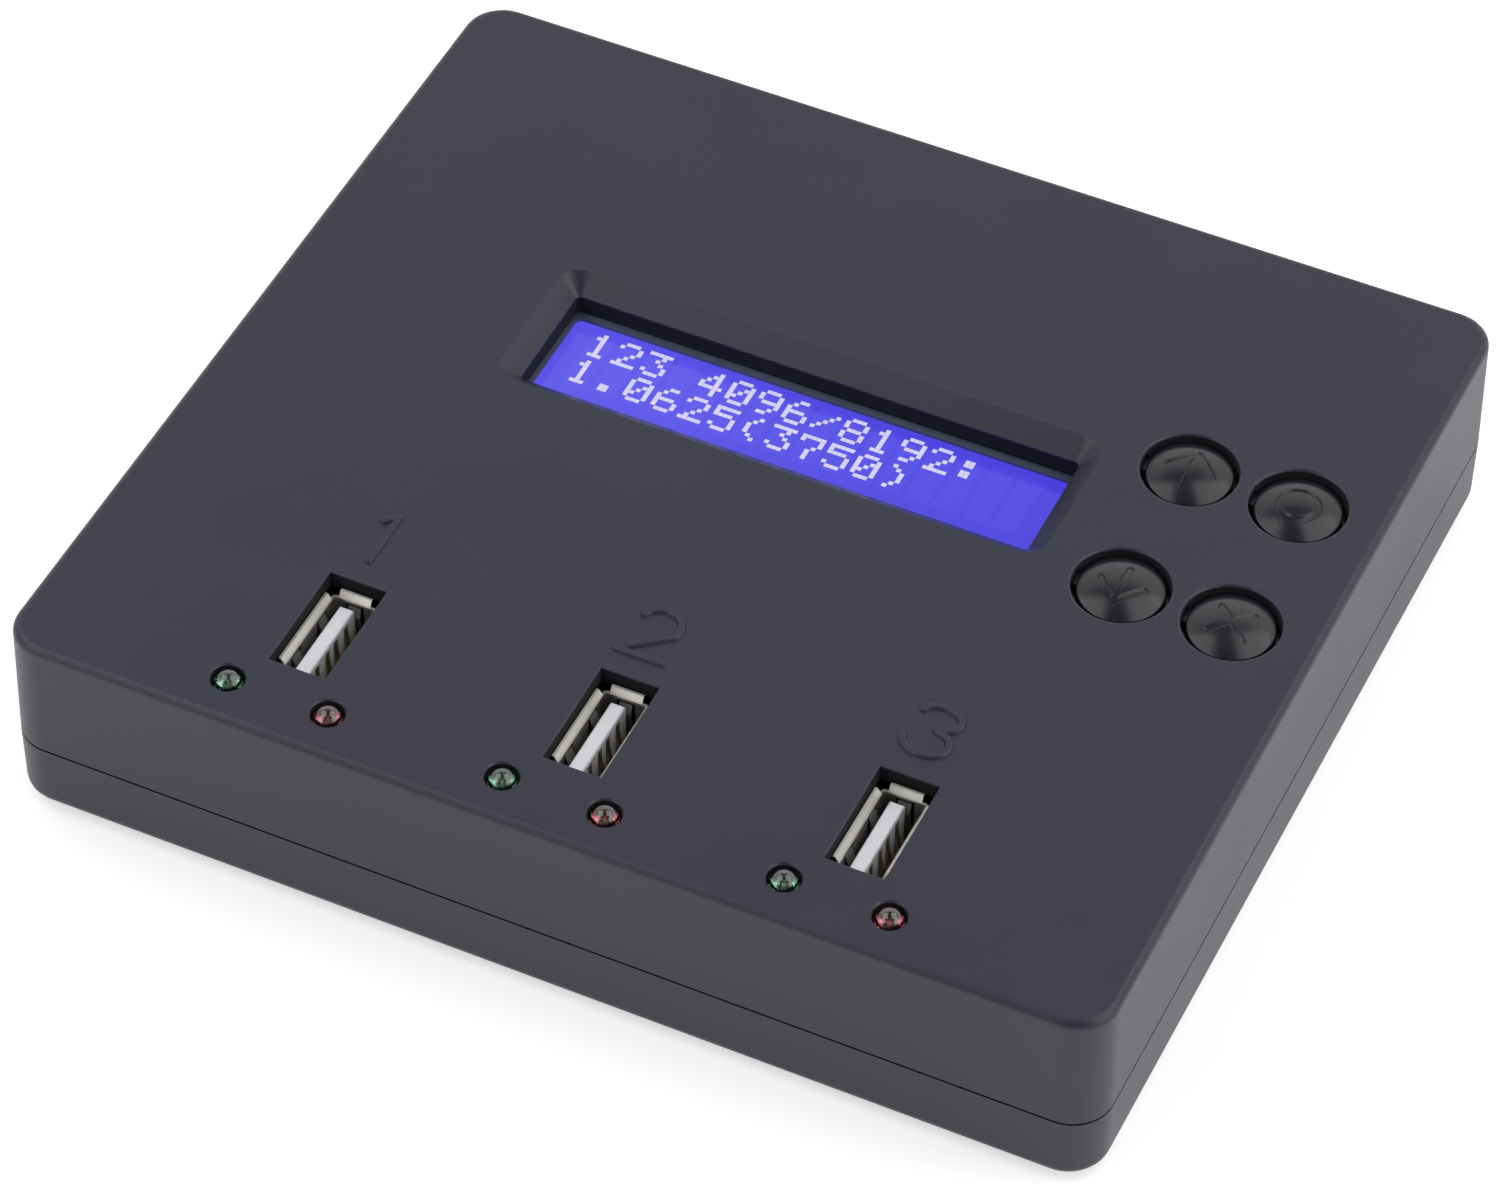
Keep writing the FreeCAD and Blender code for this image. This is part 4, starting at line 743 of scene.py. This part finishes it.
GLYPHS = {
    "0": ".###. #...# #..## #.#.# ##..# #...# .###.",
    "1": "..#.. .##.. ..#.. ..#.. ..#.. ..#.. .###.",
    "2": ".###. #...# ....# ...#. ..#.. .#... #####",
    "3": "##### ...#. ..#.. ...#. ....# #...# .###.",
    "4": "...#. ..##. .#.#. #..#. ##### ...#. ...#.",
    "5": "##### #.... ####. ....# ....# #...# .###.",
    "6": "..##. .#... #.... ####. #...# #...# .###.",
    "7": "##### #...# ....# ...#. ..#.. ..#.. ..#..",
    "8": ".###. #...# #...# .###. #...# #...# .###.",
    "9": ".###. #...# #...# .#### ....# ...#. .##..",
    ".": "..... ..... ..... ..... ..... .##.. .##..",
    ":": "..... .##.. .##.. ..... .##.. .##.. .....",
    "/": "..... ....# ...#. ..#.. .#... #.... .....",
    "(": "...#. ..#.. .#... .#... .#... ..#.. ...#.",
    ")": ".#... ..#.. ...#. ...#. ...#. ..#.. .#...",
    " ": "..... ..... ..... ..... ..... ..... .....",
}


@dataclass
class Display:
    """Lit character display at the bottom of the well."""

    rows: tuple[str, str] = ("123 4096/8192:", "1.0625(3750)")
    gap: float = 0.035 * MM
    thickness: float = 0.02 * MM

    def build(self, top: float) -> None:
        """Lay the lit dots on the glass.

        Each dot is a thin box: four corners at two heights.

        Args:
            top: Height of the glass.
        """
        corners = []
        for row, text in enumerate(self.rows):
            for column, sign in enumerate(text):
                for line, dots in enumerate(GLYPHS[sign].split()):
                    for step, mark in enumerate(dots):
                        if mark == "#":
                            corners.append((CELL_LEFT + column * CELL_PITCH + step * DOT_WIDTH,
                                            CELL_BACK - row * ROW_PITCH - line * DOT_DEPTH))
        place = np.array(corners)
        wide, deep = DOT_WIDTH - self.gap, DOT_DEPTH - self.gap
        outline = np.array([(0, -deep), (wide, -deep), (wide, 0), (0, 0)])
        flat = place[:, None, :] + outline[None, :, :]
        low = np.concatenate([flat, np.full((*flat.shape[:2], 1), top)], 2)
        high = np.concatenate([flat, np.full((*flat.shape[:2], 1), top + self.thickness)], 2)
        vertices = np.concatenate([low, high], 1).reshape(-1, 3)
        box = np.array([(4, 5, 6, 7), (3, 2, 1, 0), (0, 1, 5, 4), (1, 2, 6, 5), (2, 3, 7, 6), (3, 0, 4, 7)])
        faces = (box[None] + 8 * np.arange(len(place))[:, None, None]).reshape(-1, 4)
        piece("display_characters", vertices, faces.tolist(), INK.material(), "case")


# Push buttons


class Icon(Enum):
    """What is sunk into each button's crown, under the name of its button."""

    UP = "up"
    RING = "enter"
    DOWN = "down"
    CROSS = "cancel"

    def strokes(self) -> list[np.ndarray]:
        """Centrelines about the crown's middle, in millimetres."""
        if self is Icon.UP:
            return [np.array([(-2.8, 0.0), (0, 2.9), (2.8, 0.0)]), np.array([(0, 2.9), (0, -3.2)])]
        if self is Icon.RING:
            return [arc((0, 0), (2.3, 2.3), 0, 360, 73)]
        if self is Icon.DOWN:
            return [np.array([(-2.75, 0.35), (0, -3.0), (2.75, 0.35)]), np.array([(0, -3.0), (0, 2.9)])]
        return [np.array([(-2.1, -2.1), (2.1, 2.1)]), np.array([(-2.1, 2.1), (2.1, -2.1)])]


@dataclass
class PushButtons:
    """Four domed caps, each with its icon sunk in the crown."""

    radius: float = 5.2 * MM
    rise: float = 1.15 * MM
    edge: float = 0.35 * MM
    edge_steps: int = 8
    wall: float = 1.1 * MM
    crown: float = 1.6 * MM
    stem_radius: float = 1.6 * MM
    flange_radius: float = 6.5 * MM
    flange_height: float = 0.9 * MM
    rim_to_flange: float = 1.45 * MM
    key_width: float = 2.0 * MM
    key_height: float = 0.95 * MM
    key_foot: float = 0.2 * MM
    key_bevel: float = 0.12 * MM
    half_stroke: float = 0.45 * MM
    depth: float = 0.22 * MM
    slope: float = 0.18 * MM
    cells: int = 176

    def profile(self, rim: float, foot: float) -> np.ndarray:
        """Radius and height from the crown's border over the edge, skirt and hollow to the stem's foot.

        The edge is an arc that touches the dome's sphere and the wall: its centre lies one edge radius
        inside the wall and as far from the sphere's centre as the sphere's radius less the edge radius.

        Args:
            rim: Height at which the dome would meet the wall.
            foot: Height of the stem's foot.

        Returns:
            Points, one row each.
        """
        bend = self.bend()
        low = rim + self.rise - bend
        inner = self.radius - self.edge
        high = math.sqrt((bend - self.edge) ** 2 - inner ** 2)
        turn = np.linspace(math.atan2(high, inner), 0, self.edge_steps)
        arc_part = np.stack([inner + self.edge * np.cos(turn), low + high + self.edge * np.sin(turn)], -1)
        shelf = rim - self.rim_to_flange
        under = shelf - self.flange_height
        hollow = rim - self.crown
        corners = [(self.radius, shelf), (self.flange_radius, shelf), (self.flange_radius, under),
                   (self.radius - self.wall, under), (self.radius - self.wall, hollow),
                   (self.stem_radius, hollow), (self.stem_radius, foot)]
        return np.concatenate([arc_part, corners])

    def bend(self) -> float:
        """Radius of the crown's sphere, from the cap's radius and how far the crown rises."""
        return (self.radius ** 2 + self.rise ** 2) / (2 * self.rise)

    def cap(self, icon: Icon) -> None:
        """Build one cap over the button that it stands for.

        The crown is a disc of points at the sphere's height, less the icon's cross-section. The profile's
        points, turned round the axis, carry on from its border, and a last point closes the stem's foot.

        Args:
            icon: Which button.
        """
        node = f"{icon.value}_button"
        low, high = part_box(node)
        x, y = high.x - self.flange_radius, (low.y + high.y) / 2
        rim = high.z - self.rise
        bend = self.bend()
        profile = self.profile(rim, low.z)
        share, angle = disc(self.cells)
        across = share * profile[0, 0] * np.cos(angle)
        along = share * profile[0, 0] * np.sin(angle)
        distance = distance_to([stroke * MM for stroke in icon.strokes()], across, along)
        sunk = self.depth * shoulder(distance, self.half_stroke, self.slope)
        dome = high.z - bend + np.sqrt(bend ** 2 - across ** 2 - along ** 2) - sunk
        crown = np.stack([x + across, y + along, dome], -1).reshape(-1, 3)
        number = np.arange(len(crown)).reshape(dome.shape)
        patch = np.stack([number[:-1, :-1], number[:-1, 1:], number[1:, 1:], number[1:, :-1]], -1)
        edge = border(self.cells)
        turn = angle.reshape(-1)[edge]
        rows = np.stack([
            x + profile[1:, :1] * np.cos(turn),
            y + profile[1:, :1] * np.sin(turn),
            np.broadcast_to(profile[1:, 1:], (len(profile) - 1, len(turn)))], -1)
        below = len(crown) + np.arange(rows[..., 0].size).reshape(len(rows), -1)
        rings = np.concatenate([edge[None], below])
        beside = np.roll(rings, -1, 1)
        skirt = np.stack([rings[:-1], rings[1:], beside[1:], beside[:-1]], -1)
        last = len(crown) + rows[..., 0].size
        foot = np.stack([rings[-1], np.full(len(edge), last), beside[-1]], -1)
        points = np.concatenate([crown, rows.reshape(-1, 3), [(x, y, low.z)]])
        faces = patch.reshape(-1, 4).tolist() + skirt.reshape(-1, 4).tolist() + foot.tolist()
        finish = Shop.finish("button_plastic")
        made = piece(f"{icon.value}_cap", points, faces, finish, f"{icon.value}_key")
        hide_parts(node)

    def key(self, icon: Icon) -> None:
        """Build the small block on the cap's left that keeps it from turning."""
        low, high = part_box(f"{icon.value}_button")
        middle = (low.y + high.y) / 2
        shelf = high.z - self.rise - self.rim_to_flange
        inner = high.x - self.flange_radius - self.radius + self.wall / 2
        corner_low = np.array([low.x, middle - self.key_width / 2, shelf - self.key_foot])
        corner_high = np.array([inner, middle + self.key_width / 2, shelf + self.key_height])
        points, faces = block(corner_low, corner_high, self.key_bevel)
        finish = Shop.finish("button_plastic")
        piece(f"{icon.value}_cap_key", points, faces, finish, f"{icon.value}_key")

    def build(self) -> None:
        """Build the four caps."""
        for icon in Icon:
            self.cap(icon)
            self.key(icon)


@dataclass
class SwitchDomes:
    """Sprung discs under the plungers."""

    sheet: float = 0.12 * MM
    left_when_pressed: float = 0.38
    steps: int = 12

    def disc(self, icon: Icon) -> None:
        """Build one disc, a shell between two bowls.

        The outer bowl's height is its rise times 1 less the square of the radius over its largest, and the
        inner bowl lies one sheet lower and two sheets further in.

        Args:
            icon: Which button.
        """
        node = f"{icon.value}_switch_dome"
        low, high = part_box(node)
        x, y = (low.x + high.x) / 2, (low.y + high.y) / 2
        radius, rise = (high.x - low.x) / 2, high.z - low.z
        share = np.linspace(0, 1, self.steps)
        fall = 1 - share ** 2
        inner = np.stack([share * (radius - 2 * self.sheet), fall * (rise - self.sheet)], -1)
        outer = np.stack([share * radius, fall * rise], -1)[::-1]
        anchor = (x, y, low.z)
        points, faces = turned(np.concatenate([inner, outer]), anchor)
        finish = Shop.finish("spring_steel")
        made = piece(f"{icon.value}_disc", points, faces, finish, "case")
        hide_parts(node)
        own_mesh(made)

    def build(self) -> None:
        """Build the four discs."""
        for icon in Icon:
            self.disc(icon)


# Status lights


@dataclass
class StatusLights:
    """What shows inside the clear lenses: two posts, and on the left one the cup that holds the chip."""

    post_depth: float = 0.25 * MM
    post_width: float = 0.45 * MM
    post_gap: float = 0.3 * MM
    post_bevel: float = 0.04 * MM
    above_foot: float = 0.1 * MM
    below_top: float = 3.3 * MM
    cup_bottom: float = 0.3 * MM
    cup_mouth: float = 0.45 * MM
    cup_depth: float = 0.4 * MM
    cup_wall: float = 0.1 * MM

    def post(self, left: float, y: float, low: float, high: float) -> Shape:
        """One flat post from its left side."""
        start = np.array([left, y - self.post_depth / 2, low])
        end = np.array([left + self.post_width, y + self.post_depth / 2, high])
        return block(start, end, self.post_bevel)

    def light(self, number: int, colour: str) -> None:
        """Build the posts and the cup of one light.

        Args:
            number: The port's number.
            colour: Colour of its lens, as its node is named.
        """
        low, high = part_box(f"led_{number}_{colour}")
        x, y = (low.x + high.x) / 2, (low.y + high.y) / 2
        foot, head = low.z + self.above_foot, high.z - self.below_top
        left = self.post(x - self.post_gap / 2 - self.post_width, y, foot, head)
        right = self.post(x + self.post_gap / 2, y, foot, head)
        outline = np.array([
            (0, 0), (self.cup_bottom, 0), (self.cup_mouth, self.cup_depth),
            (self.cup_mouth - self.cup_wall, self.cup_depth),
            (self.cup_bottom - self.cup_wall, self.cup_wall),
            (0, self.cup_wall)])
        cup = turned(outline, (x - self.post_gap / 2 - self.post_width / 2, y, head))
        points, faces = joined([left, right, cup])
        finish = Shop.finish("tinned_lead")
        piece(f"led_{number}_{colour}_frame", points, faces, finish, "case")

    def build(self) -> None:
        """Build what all six lenses hold."""
        for number in (1, 2, 3):
            for colour in ("green", "red"):
                self.light(number, colour)


# Studio


@dataclass
class Lamp:
    """A soft box aimed at the object, placed by its bearing and height as seen from it."""

    name: str
    bearing: float
    lift: float
    distance: float
    size: tuple[float, float]
    power: float

    def build(self) -> None:
        """Hang the lamp; its bearing is in degrees to the right of the front, and its width lies level."""
        light = bpy.data.lights.new(self.name, "AREA")
        light.shape = "RECTANGLE"
        light.size, light.size_y = self.size
        light.energy = self.power
        made = bpy.data.objects.new(self.name, light)
        bearing, lift = math.radians(self.bearing), math.radians(self.lift)
        across = Vector((math.cos(bearing), math.sin(bearing), 0))
        front = Vector((math.sin(bearing), -math.cos(bearing), 0))
        back = front * math.cos(lift) + Vector((0, 0, math.sin(lift)))
        above = back.cross(across)
        place = back * self.distance
        made.matrix_world = Matrix((
            (across.x, above.x, back.x, place.x),
            (across.y, above.y, back.y, place.y),
            (across.z, above.z, back.z, place.z),
            (0, 0, 0, 1)))
        bpy.context.scene.collection.objects.link(made)


@dataclass
class Studio:
    """White sweep, soft boxes and the camera of the picture."""

    azimuth: float = 24.58
    elevation: float = 46.38
    roll: float = 0.79
    distance: float = 0.7048
    aim: tuple[float, float] = (0.0066, -0.0191)
    lens: float = 149.4
    film_width: float = 36
    nearest: float = 0.01
    floor_side: float = 6.0
    floor_grey: float = 0.82
    floor_roughness: float = 0.9
    floor_specular: float = 0.1
    floor_glow: float = 0.54
    floor_gloss: float = 0.4
    backdrop_top: float = 0.67
    ceiling_start: float = 0.8
    front_light: float = 0.3
    back_light: float = 1.0
    depth_reach: float = 0.8
    ceiling_share: float = 0.12
    low_bearing: float = 62
    low_lift: float = 30
    low_distance: float = 0.9
    low_size: tuple[float, float] = (0.6, 0.62)
    left_power: float = 1.3
    right_power: float = 1.65
    high_bearing: float = 102
    high_lift: float = 60
    high_distance: float = 0.95
    high_size: tuple[float, float] = (0.8, 0.6)
    high_power: float = 2.4

    def camera(self, top: float) -> None:
        """Set up the camera, aimed at a point on the top face."""
        turn = math.radians(self.azimuth)
        lift = math.radians(self.elevation)
        roll = math.radians(self.roll)
        back = Vector((math.sin(turn) * math.cos(lift), -math.cos(turn) * math.cos(lift), math.sin(lift)))
        level = Vector((math.cos(turn), math.sin(turn), 0))
        above = back.cross(level)
        right = level * math.cos(roll) + above * math.sin(roll)
        up = above * math.cos(roll) - level * math.sin(roll)
        camera = bpy.data.cameras.new("Camera")
        camera.lens = self.lens
        camera.sensor_width = self.film_width
        camera.clip_start = self.nearest
        made = bpy.data.objects.new("Camera", camera)
        place = Vector((*self.aim, top)) + back * self.distance
        made.matrix_world = Matrix((
            (right.x, up.x, back.x, place.x),
            (right.y, up.y, back.y, place.y),
            (right.z, up.z, back.z, place.z),
            (0, 0, 0, 1)))
        bpy.context.scene.collection.objects.link(made)
        bpy.context.scene.camera = made

    def floor(self) -> None:
        """Lay the pale floor, which keeps its shadow and turns white where it is fully lit."""
        half = self.floor_side / 2
        grey = self.floor_grey
        mesh = bpy.data.meshes.new("Floor")
        corners = [(-half, -half, 0), (half, -half, 0), (half, half, 0), (-half, half, 0)]
        mesh.from_pydata(corners, [], [(0, 1, 2, 3)])
        material = bpy.data.materials.new("FloorPaper")
        material.use_nodes = True
        nodes = material.node_tree.nodes
        links = material.node_tree.links
        shader = next(node for node in nodes if node.type == "BSDF_PRINCIPLED")
        shader.inputs["Base Color"].default_value = (grey, grey, grey, 1)
        shader.inputs["Roughness"].default_value = self.floor_roughness
        shader.inputs["Specular IOR Level"].default_value = self.floor_specular
        shader.inputs["Emission Color"].default_value = (1, 1, 1, 1)
        path = nodes.new("ShaderNodeLightPath")
        mirrored = nodes.new("ShaderNodeMath")
        mirrored.operation = "MULTIPLY"
        mirrored.inputs[1].default_value = self.floor_gloss
        links.new(path.outputs["Is Glossy Ray"], mirrored.inputs[0])
        glow = nodes.new("ShaderNodeMath")
        glow.operation = "MULTIPLY_ADD"
        glow.inputs[1].default_value = self.floor_glow
        links.new(path.outputs["Is Camera Ray"], glow.inputs[0])
        links.new(mirrored.outputs["Value"], glow.inputs[2])
        links.new(glow.outputs["Value"], shader.inputs["Emission Strength"])
        mesh.materials.append(material)
        floor = bpy.data.objects.new("Floor", mesh)
        bpy.context.scene.collection.objects.link(floor)

    def world(self) -> None:
        """Backdrop all round, brighter behind than in front, under a dim ceiling.

        Its light goes with how far a direction points back, and fades to the ceiling's between two
        steepnesses, each the sine of an angle above the horizon. The camera sees white.
        """
        world = bpy.data.worlds.new("World")
        world.use_nodes = True
        nodes = world.node_tree.nodes
        links = world.node_tree.links
        background = next(node for node in nodes if node.type == "BACKGROUND")
        background.inputs["Color"].default_value = (1, 1, 1, 1)
        direction = nodes.new("ShaderNodeTexCoord")
        split = nodes.new("ShaderNodeSeparateXYZ")
        links.new(direction.outputs["Generated"], split.inputs["Vector"])
        fade = nodes.new("ShaderNodeMapRange")
        fade.interpolation_type = "SMOOTHSTEP"
        fade.inputs["From Min"].default_value = self.backdrop_top
        fade.inputs["From Max"].default_value = self.ceiling_start
        fade.inputs["To Min"].default_value = 1.0
        fade.inputs["To Max"].default_value = self.ceiling_share
        links.new(split.outputs["Z"], fade.inputs["Value"])
        depth = nodes.new("ShaderNodeMapRange")
        depth.inputs["From Min"].default_value = -self.depth_reach
        depth.inputs["From Max"].default_value = self.depth_reach
        depth.inputs["To Min"].default_value = self.front_light
        depth.inputs["To Max"].default_value = self.back_light
        links.new(split.outputs["Y"], depth.inputs["Value"])
        light = nodes.new("ShaderNodeMath")
        light.operation = "MULTIPLY"
        links.new(fade.outputs["Result"], light.inputs[0])
        links.new(depth.outputs["Result"], light.inputs[1])
        path = nodes.new("ShaderNodeLightPath")
        seen = nodes.new("ShaderNodeMath")
        seen.operation = "MAXIMUM"
        links.new(path.outputs["Is Camera Ray"], seen.inputs[0])
        links.new(light.outputs["Value"], seen.inputs[1])
        links.new(seen.outputs["Value"], background.inputs["Strength"])
        bpy.context.scene.world = world

    def lamps(self) -> None:
        """Hang a low and a high soft box on each side of the camera."""
        for name, side, power in (("Left", -1, self.left_power), ("Right", 1, self.right_power)):
            low = self.azimuth + self.low_bearing * side
            high = self.azimuth + self.high_bearing * side
            Lamp(f"{name}Box", low, self.low_lift, self.low_distance, self.low_size, power).build()
            Lamp(f"{name}Top", high, self.high_lift, self.high_distance, self.high_size,
                 self.high_power).build()

    def build(self, top: float) -> None:
        """Set up the whole studio."""
        self.camera(top)
        self.floor()
        self.world()
        self.lamps()
        bpy.context.scene.view_settings.view_transform = "Standard"


# Putting it together


class Shop:
    """Finishes that are built once and then shared."""

    made: dict[str, Material] = {}

    @classmethod
    def finish(cls, slot: str) -> Material:
        """The material of a slot, built when it is first asked for."""
        if slot not in cls.made:
            cls.made[slot] = FINISHES[slot].material()
        return cls.made[slot]

    @classmethod
    def cover(cls) -> Material:
        """The top cover's own finish, with painted shade on the sides of its openings."""
        return COVER.material()

    @classmethod
    def dress_nodes(cls) -> None:
        """Give every carried-over node the finish of its slot."""
        slots = {part["node"]: part["material_slot"] for part in frame["record"]["subparts"]}
        for name, node in frame["nodes"].items():
            finish = cls.cover() if name == "top_cover" else cls.finish(slots[name])
            for holder in node.material_slots:
                holder.material = finish


def main() -> None:
    """Dress the frame and set up the studio."""
    logging.basicConfig(level=logging.INFO, format="%(name)s: %(message)s")
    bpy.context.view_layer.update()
    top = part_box("top_cover")[1].z
    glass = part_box("display_glass")[1].z
    Shop.dress_nodes()
    Case().build(top)
    Display().build(glass)
    PushButtons().build()
    SwitchDomes().build()
    StatusLights().build()
    Studio().build(top)


if __name__ == "__main__":
    main()
